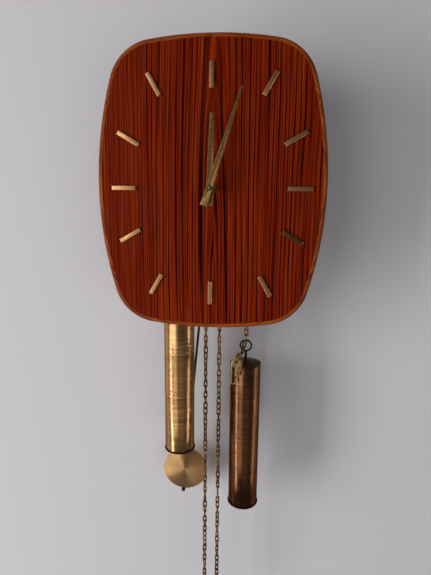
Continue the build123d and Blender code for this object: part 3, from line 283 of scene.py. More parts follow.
def make_tarnish():
    """Cloudy patches with darker specks inside them, as on brass that has been handled and left."""
    sockets = [("Vector", "NodeSocketVector", None), ("Scale", "NodeSocketFloat", 60.0),
               ("Amount", "NodeSocketFloat", 0.5)]
    masks = [("Mask", "NodeSocketFloat"), ("Specks", "NodeSocketFloat")]
    group, start, end = new_group("tarnish", sockets, masks)
    scaled = group.nodes.new("ShaderNodeVectorMath")
    scaled.operation = "SCALE"
    group.links.new(start.outputs["Vector"], scaled.inputs[0])
    group.links.new(start.outputs["Scale"], scaled.inputs["Scale"])
    cloud = noise(group, scaled.outputs[0], scale=1.0, detail=5.0, roughness=0.62, distortion=0.4)
    soft = above(group, cloud, start=0.42, slope=4.0)
    mask = times(group, soft, start.outputs["Amount"], clamp=True)
    group.links.new(mask, end.inputs["Mask"])
    dots = noise(group, scaled.outputs[0], scale=9.0, detail=3.0, roughness=0.7)
    specks = above(group, dots, start=0.58, slope=9.0)
    specks = times(group, specks, start.outputs["Amount"], clamp=True)
    group.links.new(specks, end.inputs["Specks"])
    return group


BRUSHING = make_brushing()
TARNISH = make_tarnish()


# %% Material starter
def new_material(name, metallic=0.0, roughness=0.4, **plain):
    """A material with its Principled shader. Values that are the same all over go on the shader's sockets."""
    material = bpy.data.materials.new(name)
    material.use_nodes = True
    tree = material.node_tree
    shader = tree.nodes["Principled BSDF"]
    shader.inputs["Metallic"].default_value = metallic
    shader.inputs["Roughness"].default_value = roughness
    for label, value in plain.items():
        shader.inputs[label.replace("_", " ")].default_value = value
    return material, tree, shader


def bump(tree, shader, height, strength, distance):
    node = tree.nodes.new("ShaderNodeBump")
    node.inputs["Strength"].default_value = strength
    node.inputs["Distance"].default_value = distance
    tree.links.new(height, node.inputs["Height"])
    tree.links.new(node.outputs["Normal"], shader.inputs["Normal"])


# %% [markdown]
# ## The veneer
# The face is covered with striped rosewood-like veneer. Its stripes run from top to bottom, close
# together at the sides and wider in the middle, where the cut bends them into long arches. A wave texture
# would give stripes that are all alike. Instead one value is made that grows outwards from a long, narrow
# ellipse, and bands of one-dimensional noise are read along that value, broad, medium and fine. Warping
# the value a little along the height makes the lines wander as growth rings do.


# %% Veneer material
HEART_X = 0.004                 # where the figure's long arches have their middle
HEART_Z = -0.235
NARROW = 0.042                  # the arches' height counts for this share of their width
WANDER = 0.0075                 # how far the lines stray sideways
CROWDING = 4.0                  # lines lie closer together towards the sides
SIDE_SHIFT = 0.37               # so that left and right have different lines
DARK_LINE = (0.0075, 0.0001, 0.0001)
PORE = (0.040, 0.0020, 0.0006)


def growth_value(tree, x, z):
    """Distance from the heart line, drawn out along the height and gently warped."""
    across = minus(tree, x, HEART_X)
    along = times(tree, minus(tree, z, HEART_Z), NARROW)
    warp_place = combine(tree, times(tree, x, 9.0), 0.0, times(tree, z, 4.5))
    warp = minus(tree, noise(tree, warp_place, scale=1.0), 0.5)
    shifted = plus(tree, across, times(tree, warp, WANDER))
    squares = plus(tree, times(tree, shifted, shifted), times(tree, along, along))
    distance = math_node(tree, "SQRT", squares)
    crowd = times(tree, times(tree, distance, distance), CROWDING)
    side = times(tree, math_node(tree, "SIGN", shifted), SIDE_SHIFT)
    return plus(tree, plus(tree, distance, crowd), side)


def bands(tree, value, z, scale, drift, detail=1.0):
    """Noise read along the growth value, with a slow change along the height."""
    vector = combine(tree, times(tree, value, scale), times(tree, z, drift), 0.0)
    return noise(tree, vector, scale=1.0, detail=detail, roughness=0.55)


def rings(tree, value, z, scale, width, unevenness):
    """Dark late-wood lines, one per growth ring, each with its own strength."""
    wobble = times(tree, bands(tree, value, z, scale * 0.55, drift=1.6, detail=0.0), unevenness)
    count = plus(tree, times(tree, value, scale), wobble)
    across = math_node(tree, "ABSOLUTE", minus(tree, math_node(tree, "FRACT", count), 0.5))
    line = minus(tree, 1.0, math_node(tree, "DIVIDE", across, width), clamp=True)
    line = times(tree, line, 1.9, clamp=True)
    ring_place = combine(tree, times(tree, math_node(tree, "FLOOR", count), 3.7), times(tree, z, 5.0), 2.0)
    strength = noise(tree, ring_place, scale=1.0, detail=1.0)
    return times(tree, line, above(tree, strength, start=0.22, slope=3.2))


def make_veneer():
    material, tree, shader = new_material("striped_veneer", roughness=0.42, Specular_IOR_Level=0.04)
    x, _, z = split(tree, place(tree))
    value = growth_value(tree, x, z)
    broad = bands(tree, value, z, scale=38.0, drift=2.2)
    fine = bands(tree, value, z, scale=620.0, drift=9.0, detail=2.0)
    pores = noise(tree, stretch(tree, place(tree), (1150.0, 1.0, 62.0)), scale=1.0, detail=2.0, roughness=0.6)

    base = ramp(tree, broad, [(0.30, (0.176, 0.0102, 0.0010)), (0.52, (0.210, 0.0150, 0.0014)),
                              (0.72, (0.256, 0.0235, 0.0024))])
    threads = ramp(tree, fine, [(0.34, (0.50, 0.36, 0.30)), (0.50, (1.0, 1.0, 1.0)),
                                (0.66, (1.24, 2.0, 2.9))])
    colour = blend_colours(tree, 1.0, base, threads, "MULTIPLY")
    narrow_lines = rings(tree, value, z, scale=290.0, width=0.30, unevenness=1.2)
    colour = blend_colours(tree, times(tree, narrow_lines, 0.50), colour, DARK_LINE)
    wide_lines = rings(tree, plus(tree, value, 1.3), z, scale=112.0, width=0.145, unevenness=1.6)
    from_left = above(tree, x, start=-0.093, slope=30.0)
    share = plus(tree, times(tree, from_left, 0.55), 0.40)
    colour = blend_colours(tree, times(tree, wide_lines, share), colour, DARK_LINE)
    pits = above(tree, pores, start=0.60, slope=6.0)
    colour = blend_colours(tree, times(tree, pits, 0.62), colour, PORE)
    tree.links.new(colour, shader.inputs["Base Color"])

    rough = plus(tree, times(tree, fine, 0.16), 0.32)
    rough = plus(tree, rough, times(tree, pits, 0.25))
    tree.links.new(rough, shader.inputs["Roughness"])
    height = minus(tree, times(tree, fine, 0.5), pits)
    bump(tree, shader, height, strength=0.35, distance=0.0001)
    return material


# %% [markdown]
# ## Plain woods
# The solid edge is lighter than the veneer, and its grain follows the outline, so its noise is drawn out
# along the angle round the face. Its outer rounding is darker, a painted shade for the side that turns
# away from the light. The case is stained dark, and the face board and case back are plywood.


# %% Edge, case and plywood materials
HANDS_Z = -0.105                # height of the hands' axis
ROUNDING_Y = -0.0943            # the edge's outer rounding lies behind this
# painted shade: the colour given to the edge's outer rounding, which turns away from the light
ROUNDING_SHADE = (0.030, 0.0030, 0.0008)


def make_edge_wood():
    material, tree, shader = new_material("edge_wood", roughness=0.38, Specular_IOR_Level=0.15)
    x, y, z = split(tree, place(tree))
    from_hands = minus(tree, z, HANDS_Z)
    angle = math_node(tree, "ARCTAN2", from_hands, x)
    squares = plus(tree, times(tree, x, x), times(tree, from_hands, from_hands))
    radius = math_node(tree, "SQRT", squares)
    vector = combine(tree, times(tree, angle, 3.0), times(tree, radius, 300.0), times(tree, y, 420.0))
    grain = noise(tree, vector, scale=1.0, detail=3.0, roughness=0.6)
    colour = ramp(tree, grain, [(0.30, (0.130, 0.017, 0.0016)), (0.50, (0.245, 0.047, 0.0045)),
                                (0.72, (0.370, 0.100, 0.013))])
    pieces = math_node(tree, "FLOOR", times(tree, plus(tree, angle, 0.9), 1.2))
    tint = noise(tree, combine(tree, pieces, 3.0, 1.0), scale=1.7, detail=0.0)
    shade = ramp(tree, tint, [(0.30, (0.78, 0.70, 0.66)), (0.70, (1.12, 1.12, 1.10))])
    colour = blend_colours(tree, 1.0, colour, shade, "MULTIPLY")
    # painted shade: the outer rounding is darkened in its colour, as the shade there would darken it
    shaded_rounding = above(tree, y, start=ROUNDING_Y, slope=1100.0)
    colour = blend_colours(tree, times(tree, shaded_rounding, 0.85), colour, ROUNDING_SHADE)
    tree.links.new(colour, shader.inputs["Base Color"])
    tree.links.new(plus(tree, times(tree, grain, 0.2), 0.26), shader.inputs["Roughness"])
    bump(tree, shader, grain, strength=0.2, distance=0.0002)
    return material


def make_plain_wood(name, stretched, dark, light, roughness):
    material, tree, shader = new_material(name, roughness=roughness)
    finer = tuple(6 * share for share in stretched)
    grain = noise(tree, stretch(tree, place(tree), stretched), scale=1.0, detail=4.0, roughness=0.62,
                  distortion=0.3)
    pores = noise(tree, stretch(tree, place(tree), finer), scale=1.0)
    colour = ramp(tree, grain, [(0.32, dark), (0.68, light)])
    pits = above(tree, pores, start=0.58, slope=5.0)
    colour = blend_colours(tree, times(tree, pits, 0.5), colour, tuple(0.5 * c for c in dark))
    tree.links.new(colour, shader.inputs["Base Color"])
    tree.links.new(plus(tree, times(tree, grain, 0.2), roughness - 0.1), shader.inputs["Roughness"])
    bump(tree, shader, minus(tree, grain, pits), strength=0.3, distance=0.0003)
    return material


# %% [markdown]
# ## Metals
# All the brass starts from the same idea, a base colour that tarnish darkens and brushing breaks up. What
# differs is the direction of the brushing. On the weights it runs round the tube, so highlights stand up
# as tall streaks. On the pendulum bob it runs in circles, so they fan out from the middle. The shader's
# anisotropy does that, helped by a faint bump from the lines.


# %% Metal materials
AROUND = (0.02, 0.02, 1.7)          # brushing runs round a tube that stands along Z
ROUND_CLOUDS = (0.25, 0.25, 1.6)    # and so does its tarnish
SPECK = (0.05, 0.026, 0.012)
DARKENED = (0.16, 0.060, 0.020)


def darken_spot(tree, spot, colour, centre, reach):
    """Heavy tarnish round one place, fading out past its reach."""
    offset = tree.nodes.new("ShaderNodeVectorMath")
    offset.operation = "DISTANCE"
    tree.links.new(spot, offset.inputs[0])
    offset.inputs[1].default_value = centre
    share = math_node(tree, "DIVIDE", offset.outputs["Value"], reach)
    nearness = minus(tree, 1.6, share, clamp=True)
    return blend_colours(tree, times(tree, nearness, 0.80), colour, DARKENED)


def make_metal(name, clean, dull, stretched=(1.0, 1.0, 1.0), contrast=0.6, tarnish=0.5, patch=60.0,
               roughness=0.3, relief=0.15, anisotropy=0.0, turned=0.0, round_axis=None, right_painted_shade=None,
               lacquer=0.0, edge_on=(1.0, 1.0, 1.0), dark_spot=None):
    """Brushed and tarnished metal. What lies right of the clock's middle can have its own darker colour, a
    painted shade that stands in for the darker reflection seen there.
    """
    material, tree, shader = new_material(name, metallic=1.0, roughness=roughness, Anisotropic=anisotropy,
                                          Anisotropic_Rotation=turned, Coat_Weight=lacquer,
                                          Coat_Roughness=0.10, Specular_Tint=(*edge_on, 1.0))
    spot = place(tree)
    brushed = add_group(tree, BRUSHING, Vector=stretch(tree, spot, stretched), Contrast=contrast)
    cloud_place = stretch(tree, spot, ROUND_CLOUDS) if round_axis == "Z" else spot
    aged = add_group(tree, TARNISH, Vector=cloud_place, Scale=patch, Amount=tarnish)
    # painted shade: right of the middle the colour is made much darker, standing in for the darker reflection
    # the right weight shows
    if right_painted_shade:
        to_right = above(tree, split(tree, spot)[0], start=0.0, slope=1000.0)
        clean = blend_colours(tree, to_right, clean, right_painted_shade)
        dull = blend_colours(tree, to_right, dull, tuple(0.55 * c for c in right_painted_shade))
    colour = blend_colours(tree, aged.outputs["Mask"], clean, dull)
    if dark_spot:
        colour = darken_spot(tree, spot, colour, *dark_spot)
    colour = blend_colours(tree, times(tree, aged.outputs["Specks"], 0.6), colour, SPECK)
    lines = brushed.outputs["Lines"]
    light = plus(tree, times(tree, lines, 0.9), 0.5)
    colour = blend_colours(tree, 1.0, colour, combine(tree, light, light, light), "MULTIPLY")
    tree.links.new(colour, shader.inputs["Base Color"])
    rough = plus(tree, times(tree, aged.outputs["Mask"], 0.18), roughness - 0.06)
    rough = plus(tree, rough, times(tree, lines, 0.12))
    tree.links.new(rough, shader.inputs["Roughness"])
    bump(tree, shader, lines, relief, distance=0.00005)
    if round_axis:
        tangent = tree.nodes.new("ShaderNodeTangent")
        tangent.direction_type = "RADIAL"
        tangent.axis = round_axis
        tree.links.new(tangent.outputs[0], shader.inputs["Tangent"])
    return material


def make_blackened(name, colour, roughness, metallic):
    material, tree, shader = new_material(name, metallic=metallic, roughness=roughness)
    aged = add_group(tree, TARNISH, Vector=place(tree), Scale=140.0, Amount=0.8)
    rubbed = tuple(min(1.0, 2.2 * c + 0.01) for c in colour)
    worn = blend_colours(tree, aged.outputs["Mask"], colour, rubbed)
    tree.links.new(worn, shader.inputs["Base Color"])
    rough = plus(tree, times(tree, aged.outputs["Mask"], 0.2), roughness)
    tree.links.new(rough, shader.inputs["Roughness"])
    bump(tree, shader, aged.outputs["Specks"], strength=0.2, distance=0.0001)
    return material


FOUR_OCLOCK = ((0.0899, -0.097, -0.1569), 0.016)    # the marker that has darkened most, and its reach
METALS = {
    "marker_brass": dict(clean=(0.86, 0.47, 0.21), dull=(0.60, 0.31, 0.12), stretched=(1.5, 1.5, 1.5),
                         contrast=1.0, tarnish=0.40, patch=190.0, roughness=0.34, dark_spot=FOUR_OCLOCK),
    "hand_brass": dict(clean=(0.56, 0.320, 0.115), dull=(0.26, 0.130, 0.042), stretched=(1.0, 1.0, 0.25),
                       contrast=1.2, tarnish=0.9, patch=260.0, roughness=0.36),
    "plate_brass": dict(clean=(0.80, 0.60, 0.29), dull=(0.55, 0.38, 0.16), stretched=(1.0, 1.0, 0.12),
                        contrast=0.8, tarnish=0.4, patch=50.0, roughness=0.28),
    # the right weight's darker colour below is painted shade for its darker reflection
    "weight_brass": dict(clean=(0.74, 0.430, 0.195), dull=(0.50, 0.260, 0.105), stretched=AROUND,
                         contrast=2.3, tarnish=0.34, patch=34.0, roughness=0.20, relief=0.03,
                         anisotropy=0.75, round_axis="Z", right_painted_shade=(0.250, 0.110, 0.050),
                         lacquer=0.12, edge_on=(0.22, 0.12, 0.07)),
    "bob_brass": dict(clean=(0.80, 0.49, 0.23), dull=(0.60, 0.335, 0.14), contrast=0.5, tarnish=0.35,
                      patch=40.0, roughness=0.30, relief=0.05, anisotropy=0.9, turned=0.25,
                      round_axis="Y"),
    # the chain's near-black dull colour under full tarnish is partly real tarnish and partly painted shade
    # for the dark room its links reflect
    "chain_brass": dict(clean=(0.46, 0.245, 0.090), dull=(0.036, 0.015, 0.006), contrast=0.9,
                        tarnish=1.0, patch=330.0, roughness=0.22),
    "hook_brass": dict(clean=(0.90, 0.60, 0.26), dull=(0.33, 0.22, 0.09), contrast=0.9, tarnish=0.8,
                       patch=230.0, roughness=0.32),
    "cap_bronze": dict(clean=(0.110, 0.042, 0.017), dull=(0.045, 0.016, 0.007), stretched=AROUND,
                       contrast=0.8, tarnish=0.8, patch=90.0, roughness=0.38),
    "eye_bronze": dict(clean=(0.060, 0.040, 0.026), dull=(0.030, 0.020, 0.014), contrast=0.6,
                       tarnish=0.6, patch=120.0, roughness=0.34),
    "steel": dict(clean=(0.56, 0.56, 0.56), dull=(0.36, 0.35, 0.33), stretched=(1.0, 1.0, 0.2),
                  contrast=0.8, tarnish=0.3, patch=70.0, roughness=0.30),
    "screw_steel": dict(clean=(0.52, 0.51, 0.49), dull=(0.30, 0.28, 0.25), contrast=0.8, tarnish=0.5,
                        patch=120.0, roughness=0.34),
    "hanger_steel": dict(clean=(0.60, 0.60, 0.60), dull=(0.42, 0.41, 0.38), stretched=(0.2, 1.0, 1.0),
                         contrast=0.7, tarnish=0.4, patch=60.0, roughness=0.34),
}
FINISHES = {
    "veneer": make_veneer(),
    "edge_wood": make_edge_wood(),
    "plywood": make_plain_wood("plywood", stretched=(160.0, 40.0, 12.0), dark=(0.30, 0.17, 0.085),
                               light=(0.52, 0.34, 0.19), roughness=0.6),
    "case_wood": make_plain_wood("stained_case", stretched=(60.0, 90.0, 8.0),
                                 dark=(0.030, 0.012, 0.006), light=(0.085, 0.034, 0.015),
                                 roughness=0.45),
    "iron": make_blackened("cast_iron", (0.045, 0.043, 0.042), roughness=0.6, metallic=0.8),
    "nut_dark": make_blackened("dark_nut", (0.026, 0.017, 0.011), roughness=0.14, metallic=1.0),
    "rod_black": make_blackened("black_rod", (0.010, 0.010, 0.010), roughness=0.35, metallic=0.0),
}
for slot, look in METALS.items():
    FINISHES[slot] = make_metal(slot, **look)
print("finishes:", len(FINISHES))

# %% [markdown]
# ## Every CAD piece gets its finish
# The record names a material slot for each piece, so one loop dresses them all, inside and out.

# %% Dress the CAD pieces
slot_of = {entry["node"]: entry["material_slot"] for entry in frame["record"]["subparts"]}


def dress(obj, slot):
    obj.data.materials.clear()
    obj.data.materials.append(FINISHES[slot])


for node_name, node in nodes.items():
    dress(node, slot_of[node_name])


# %% [markdown]
# ## Soft edges
# Real metal and wood have no knife edges. A worn edge catches a thin line of light, and that line is most
# of what makes a small part look made. The pieces in view are copied, their loose triangles are merged,
# flat faces are joined up, and a narrow bevel rounds each sharp edge. Each copy then stands for its CAD
# piece.


# %% Soften the edges of the visible pieces
body_of = {n: body for body, names in frame["record"]["behaviour"]["bodies"].items() for n in names}
MERGE = 1e-6                    # corners closer than this, in metres, are one
FLAT = 0.6                      # faces that differ by less than this, in degrees, are one


def soften(node_name, width):
    """A copy of a CAD piece with merged faces and rounded edges, riding where the piece rides."""
    copy = nodes[node_name].copy()
    copy.data = nodes[node_name].data.copy()
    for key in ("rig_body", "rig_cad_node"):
        if key in copy:
            del copy[key]
    copy.parent = None
    copy.name = node_name + "_soft"
    bpy.context.scene.collection.objects.link(copy)
    pick(copy)
    bpy.ops.object.mode_set(mode="EDIT")
    bpy.ops.mesh.select_all(action="SELECT")
    bpy.ops.mesh.remove_doubles(threshold=MERGE)
    bpy.ops.mesh.dissolve_limited(angle_limit=radians(FLAT))
    bpy.ops.object.mode_set(mode="OBJECT")
    if width:
        rounding = copy.modifiers.new("rounding", "BEVEL")
        rounding.width = width * MM
        rounding.segments = 3
        rounding.limit_method = "ANGLE"
        rounding.angle_limit = radians(30)
        rounding.use_clamp_overlap = True
        apply_modifiers(copy)
    smooth(copy, 40)
    finish_piece(copy, node_name)
    return copy


def finish_piece(obj, *node_names):
    """Give a finished piece its body and its finish, and hide the CAD pieces that it stands for."""
    slot = slot_of[node_names[0]]
    dress(obj, slot)
    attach(obj, body_of[node_names[0]])
    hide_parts(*node_names)


SOFT_EDGES = {                  # each piece's rounding in millimetres
    "edge_banding": 0.9, "hour_markers": 0.18, "hour_hand": 0.12, "minute_hand": 0.12, "hand_nut": 0.25,
    "time_weight_caps": 0.3, "strike_weight_caps": 0.3, "time_chain_hook": 0.45, "rating_nut": 0.5,
    "hanger_plate": 0.25, "time_weight_eye": 0.0, "strike_weight_eye": 0.0, "time_tail_ring": 0.0,
    "strike_tail_ring": 0.0, "pendulum_rod": 0.25,
}
for node_name, width in SOFT_EDGES.items():
    piece = soften(node_name, width)
    print(piece.name, len(piece.data.polygons), "faces")

# %% [markdown]
# ## The weights' tubes
# Each weight is a thin brass tube filled with iron. The brushing that runs round it needs a clean
# surface, so the tube is made again from a cylinder primitive with many sides, with its ends turned in a
# little where the caps sit.


# %% Weight tubes
TUBE_WALL = 0.8 * MM
TUBE_LIP = 0.25 * MM
ROUND_SIDES = 128               # sides of the round things that are seen from near


def make_tube(node_name):
    low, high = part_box(node_name)
    middle = (low + high) / 2
    radius = (high.x - low.x) / 2
    clear_selection()
    bpy.ops.mesh.primitive_cylinder_add(vertices=ROUND_SIDES, radius=radius, depth=high.z - low.z,
                                        end_fill_type="NOTHING", location=middle)
    tube = bpy.context.active_object
    tube.name = node_name + "_tube"
    settle(tube)
    wall = tube.modifiers.new("wall", "SOLIDIFY")
    wall.thickness = TUBE_WALL
    wall.offset = -1.0
    lip = tube.modifiers.new("lip", "BEVEL")
    lip.width = TUBE_LIP
    lip.segments = 2
    lip.limit_method = "ANGLE"
    apply_modifiers(tube)
    smooth(tube)
    finish_piece(tube, node_name)
    return tube


for node_name in ("time_weight_shell", "strike_weight_shell"):
    print(make_tube(node_name).name)

# %% [markdown]
# ## The pendulum bob
# The bob is a thin brass lens, two spun shells pressed together over a hidden slug. It is drawn from a UV
# sphere, whose many rings suit circular brushing. Left as a pressed sphere it would curl round too far at
# the rim and catch a bright edge, so each ring is moved onto a shallow dome with a narrow upright rim.


# %% Bob
HALF_RIM = 1.2 * MM             # half the height of the bob's upright rim


def make_bob():
    low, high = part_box("pendulum_bob")
    middle = (low + high) / 2
    clear_selection()
    bpy.ops.mesh.primitive_uv_sphere_add(segments=ROUND_SIDES, ring_count=48, radius=0.5,
                                         location=middle, rotation=(pi / 2, 0, 0))
    bob = bpy.context.active_object
    bob.name = "bob_lens"
    bob.scale = (high.x - low.x, high.z - low.z, high.y - low.y)
    settle(bob)
    radius = (high.x - low.x) / 2
    rise = (high.y - low.y) / 2 - HALF_RIM
    for vertex in bob.data.vertices:
        out = ((vertex.co.x - middle.x) ** 2 + (vertex.co.z - middle.z) ** 2) / radius ** 2
        inside_rim = out < 0.9999
        if inside_rim:
            side = 1 if vertex.co.y > middle.y else -1
            vertex.co.y = middle.y + side * (HALF_RIM + rise * (1 - out))
    smooth(bob, 40)
    finish_piece(bob, "pendulum_bob")
    return bob


print(make_bob().name)

# %% [markdown]
# ## The chains
# Clock chain is round brass wire bent into oval links, each turned a quarter turn from the last. One link
# is modelled from a torus whose two halves are drawn apart, and then copied along each run. The free
# tails twist a little on their way down, as a loose chain does. A tail is a free cord, so its links
# follow points that are read from a smooth curve, and its length is printed.

# %% Chain sizes
WIRE = 1.02 * MM                # radius of the wire
LINK_HALF_WIDTH = 3.0 * MM
LINK_PITCH = 7.5 * MM
CHAIN_WHEEL_X = 25.25 * MM
CHAIN_WHEEL_R = 16.75 * MM
EYE_WIRE = 1.1 * MM             # radius of the wire of a weight's ring
chain_y = sum(v.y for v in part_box("time_chain_tail")) / 2


# %% One link
def make_link():
    """A stadium of wire, long along Z and wide along X."""
    clear_selection()
    bpy.ops.mesh.primitive_torus_add(major_segments=14, minor_segments=7, major_radius=LINK_HALF_WIDTH - WIRE,
                                     minor_radius=WIRE, rotation=(pi / 2, 0, 0))
    link = bpy.context.active_object
    link.name = "link"
    settle(link)
    half_leg = LINK_PITCH / 2 + WIRE - (LINK_HALF_WIDTH - WIRE)
    for side in (-1, 1):
        bpy.ops.object.mode_set(mode="EDIT")
        bpy.ops.mesh.select_all(action="DESELECT")
        bpy.ops.object.mode_set(mode="OBJECT")
        for vertex in link.data.vertices:
            vertex.select = vertex.co.z * side > 1e-5
        bpy.ops.object.mode_set(mode="EDIT")
        bpy.ops.transform.translate(value=(0, 0, side * half_leg))
        bpy.ops.object.mode_set(mode="OBJECT")
    return link


LINK = make_link()


def link_at(centre, direction, roll):
    """A copy of the link, its length along direction, turned by roll about it."""
    copy = LINK.copy()
    copy.data = LINK.data.copy()
    turn = Vector(direction).to_track_quat("Z", "Y").to_matrix().to_4x4()
    copy.data.transform(Matrix.Translation(centre) @ turn @ Matrix.Rotation(roll, 4, "Z"))
    bpy.context.scene.collection.objects.link(copy)
    return copy


def walk(points, start, step):
    """Places and directions along a line of points, every step, by length."""
    travelled, target, found = 0.0, start, []
    for a, b in zip(points, points[1:]):
        length = (b - a).length
        while length > 0 and travelled + length >= target:
            found.append((a + (b - a) * ((target - travelled) / length), (b - a).normalized()))
            target += step
        travelled += length
    return found


def chain_along(points, name, twist=lambda share: 0.0, sway=0.0, start=LINK_PITCH / 2):
    spots = walk(points, start, LINK_PITCH)
    links = []
    for number, (centre, direction) in enumerate(spots):
        roll = number % 2 * pi / 2 + twist(number / len(spots)) + random.uniform(-1, 1) * sway
        lean = Vector((random.uniform(-1, 1), random.uniform(-1, 1), 0)) * sway * 0.25
        links.append(link_at(centre, direction + lean, roll))
    chain = join(links, name)
    smooth(chain, 80)
    return chain


# %% The two free tails
def smooth_route(points, name):
    """Points read from a NURBS curve through a few chosen ones."""
    data = bpy.data.curves.new(name, "CURVE")
    data.dimensions = "3D"
    data.resolution_u = 24
    spline = data.splines.new("NURBS")
    spline.points.add(len(points) - 1)
    for point, place_at in zip(spline.points, points):
        point.co = (*place_at, 1.0)
    spline.order_u = 3
    spline.use_endpoint_u = True
    guide = bpy.data.objects.new(name, data)
    bpy.context.scene.collection.objects.link(guide)
    bpy.context.view_layer.update()
    line = bpy.data.meshes.new_from_object(guide)
    found = [vertex.co.copy() for vertex in line.vertices]
    bpy.data.objects.remove(guide)
    bpy.data.meshes.remove(line)
    return found


def length_of(points):
    return sum((b - a).length for a, b in zip(points, points[1:]))


TAIL_ROUTES = {
    "time": [(0.0085, -0.053, -0.1113), (0.0085, -0.053, -0.1473), (0.0085, -0.053, -0.6140),
             (0.0085, -0.053, -0.6500)],
    "strike": [(-0.0085, -0.053, -0.1113), (-0.0085, -0.053, -0.1473), (-0.0085, -0.053, -0.6350),
               (-0.0085, -0.053, -0.6710)],
}
UNTWIST = {"time": radians(42), "strike": radians(36)}
UNTWIST_SHARE = 0.36            # how far down the tail the twist dies out
SWAY = 0.035                    # radians by which links hang unevenly


def make_tail(side):
    def twist(share):
        return UNTWIST[side] * (1 - min(1, share / UNTWIST_SHARE))

    line = smooth_route(TAIL_ROUTES[side], f"{side}_route")
    tail = chain_along(line, f"{side}_tail_links", twist, SWAY)
    finish_piece(tail, f"{side}_chain_tail")
    print(tail.name, "length", round(length_of(line), 4), "faces", len(tail.data.polygons))


for side in TAIL_ROUTES:
    make_tail(side)


# %% The runs that carry the weights, and the turns over the chain wheels
RUN_TWIST = radians(2.5)        # what each link of a loaded run turns from the last
ARC_STEPS = 60
SPARE_ROLL = radians(12)
SPARE_FROM_RING = ((-1.0, -3.2, -1.5), (-2.6, -7.0, -8.5), (-5.5, -14.0, -14.0))    # in millimetres
SPARE_FROM_HOLE = ((1.2, 0.0, 6.0), (0.0, 0.0, 1.2))
HOOK_HOLE_DOWN = 4.6 * MM       # from the hook's top to the middle of its hole


def make_run(side, sign):
    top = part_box(f"{side}_chain_wrap")[0].z
    eye_low, eye_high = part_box(f"{side}_weight_eye")
    x = (eye_low.x + eye_high.x) / 2
    points = [Vector((x, chain_y, eye_high.z - 2 * EYE_WIRE)), Vector((x, chain_y, top))]
    spots = walk(points, LINK_PITCH / 2, LINK_PITCH)
    links = [link_at(centre, direction, (number + 1) % 2 * pi / 2 + number * RUN_TWIST)
             for number, (centre, direction) in enumerate(spots)]
    if side == "time":
        links += spare_links(Vector((x, chain_y, eye_high.z)))
    run = join(links, f"{side}_run_links")
    smooth(run, 80)
    finish_piece(run, f"{side}_chain")

    centre = Vector((sign * CHAIN_WHEEL_X, chain_y, top))
    angles = [pi * step / ARC_STEPS for step in range(ARC_STEPS + 1)]
    arc = [centre + CHAIN_WHEEL_R * Vector((cos(angle), 0, sin(angle))) for angle in angles]
    wrap = chain_along(arc, f"{side}_wrap_links")
    finish_piece(wrap, f"{side}_chain_wrap")


def spare_links(ring_top):
    """The few links beyond the ring, which hang over the weight's edge and end in the flat hook."""
    hook_low, hook_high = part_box("time_chain_hook")
    middle = (hook_low + hook_high) / 2
    hook_hole = Vector((middle.x, middle.y, hook_high.z - HOOK_HOLE_DOWN))
    line = [ring_top + Vector(offset) * MM for offset in SPARE_FROM_RING]
    line += [hook_hole + Vector(offset) * MM for offset in SPARE_FROM_HOLE]
    spots = walk(line, LINK_PITCH * 0.55, LINK_PITCH)
    return [link_at(centre, direction, number % 2 * pi / 2 + SPARE_ROLL)
            for number, (centre, direction) in enumerate(spots)]


make_run("time", 1)
make_run("strike", -1)
bpy.data.objects.remove(LINK)

# %% [markdown]
# ## Wall, floor and light
# A plain pale wall and floor stand in for a room. The wall is see-through from behind, so that the
# clock's back can be looked at too. A tall window on the left gives the soft shadow to the right and the
# bright streak on each weight. As that streak is narrower and dimmer than the window would make it, the
# window is kept out of reflections, and a narrow gap between curtains is shown to the metal alone. So are
# a low curtain and a dim room in front of the tubes, and a pale doorway on the right for the second,
# thinner streak. The floor and a wide soft light in front fill the shadows, and they too are kept out of
# reflections.


# %% Stage
BACKDROP_SIZE = 8.0


def make_backdrop(name, colour, location, rotation, see_through):
    clear_selection()
    bpy.ops.mesh.primitive_plane_add(size=BACKDROP_SIZE, location=location, rotation=rotation)
    sheet = bpy.context.active_object
    sheet.name = name
    material, tree, shader = new_material(name + "_paint", roughness=0.9)
    speckle = noise(tree, place(tree), scale=900.0, detail=3.0, roughness=0.6)
    paint = ramp(tree, speckle, [(0.2, tuple(0.97 * c for c in colour)), (0.8, colour)])
    tree.links.new(paint, shader.inputs["Base Color"])
    bump(tree, shader, speckle, strength=0.15, distance=0.0003)
    if see_through:
        clear = tree.nodes.new("ShaderNodeBsdfTransparent")
        mix = tree.nodes.new("ShaderNodeMixShader")
        tree.links.new(tree.nodes.new("ShaderNodeNewGeometry").outputs["Backfacing"], mix.inputs[0])
        tree.links.new(shader.outputs[0], mix.inputs[1])
        tree.links.new(clear.outputs[0], mix.inputs[2])
        tree.links.new(mix.outputs[0], tree.nodes["Material Output"].inputs["Surface"])
    sheet.data.materials.append(material)
    sheet.visible_glossy = see_through


make_backdrop("wall", (0.62, 0.61, 0.64), (0, 0.0008, -0.3), (pi / 2, 0, 0), True)
make_backdrop("floor", (0.60, 0.59, 0.58), (0, -2.0, -2.1), (0, 0, 0), False)


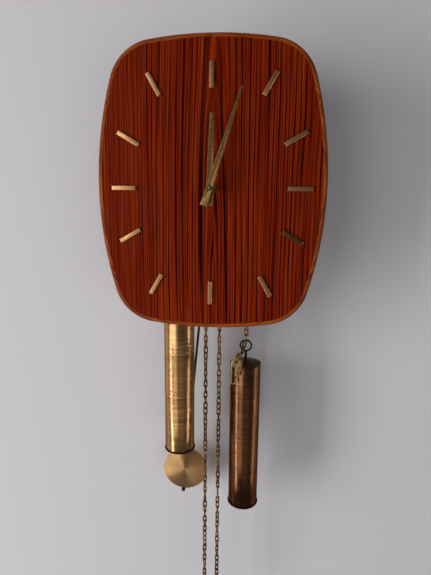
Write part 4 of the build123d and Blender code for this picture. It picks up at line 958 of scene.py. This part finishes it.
# %% Lights
def make_light(name, location, target, width, height, watts, colour, in_metal=True, on_surfaces=True):
    """An area light. It can be kept out of mirror-like reflections, or shown in those alone."""
    data = bpy.data.lights.new(name, "AREA")
    data.shape = "RECTANGLE"
    data.size, data.size_y = width, height
    data.energy = watts
    data.color = colour
    light = bpy.data.objects.new(name, data)
    light.location = location
    light.rotation_euler = (Vector(target) - Vector(location)).to_track_quat("-Z", "Y").to_euler()
    light.visible_glossy = in_metal
    light.visible_diffuse = on_surfaces
    bpy.context.scene.collection.objects.link(light)


FACE_MIDDLE = (0, -0.05, -0.3)
TUBES = (0, -0.05, -0.40)
make_light("window", (-2.66, -1.52, -0.60), FACE_MIDDLE, width=0.9, height=2.8, watts=82.0,
           colour=(1.0, 0.985, 0.98), in_metal=False)
make_light("window_gap", (-1.30, -0.80, -1.05), TUBES, width=0.14, height=1.7, watts=6.4,
           colour=(1.0, 0.97, 0.93), on_surfaces=False)
make_light("low_curtain", (-0.845, -1.64, -1.20), TUBES, width=0.85, height=1.55, watts=3.5,
           colour=(1.0, 0.95, 0.88), on_surfaces=False)
make_light("far_room", (0.45, -1.60, -1.20), TUBES, width=1.2, height=1.55, watts=0.75,
           colour=(1.0, 0.80, 0.60), on_surfaces=False)
make_light("curtain", (-1.75, -2.60, 0.2), (0, -0.05, -0.2), width=1.6, height=1.9, watts=20.0,
           colour=(1.0, 0.98, 0.96))
make_light("doorway", (1.88, -0.317, -0.95), (0, -0.05, -0.35), width=0.10, height=2.2, watts=4.6,
           colour=(1.0, 0.95, 0.88), on_surfaces=False)
make_light("ceiling_bounce", (1.3, -2.5, -0.7), (0.1, 0.0, -0.35), width=2.6, height=2.2, watts=17.0,
           colour=(1.0, 0.99, 1.0), in_metal=False)
world = bpy.data.worlds.new("room_air")
world.use_nodes = True
background = world.node_tree.nodes["Background"]
background.inputs["Color"].default_value = (0.90, 0.88, 0.90, 1.0)
background.inputs["Strength"].default_value = 0.07
bpy.context.scene.world = world
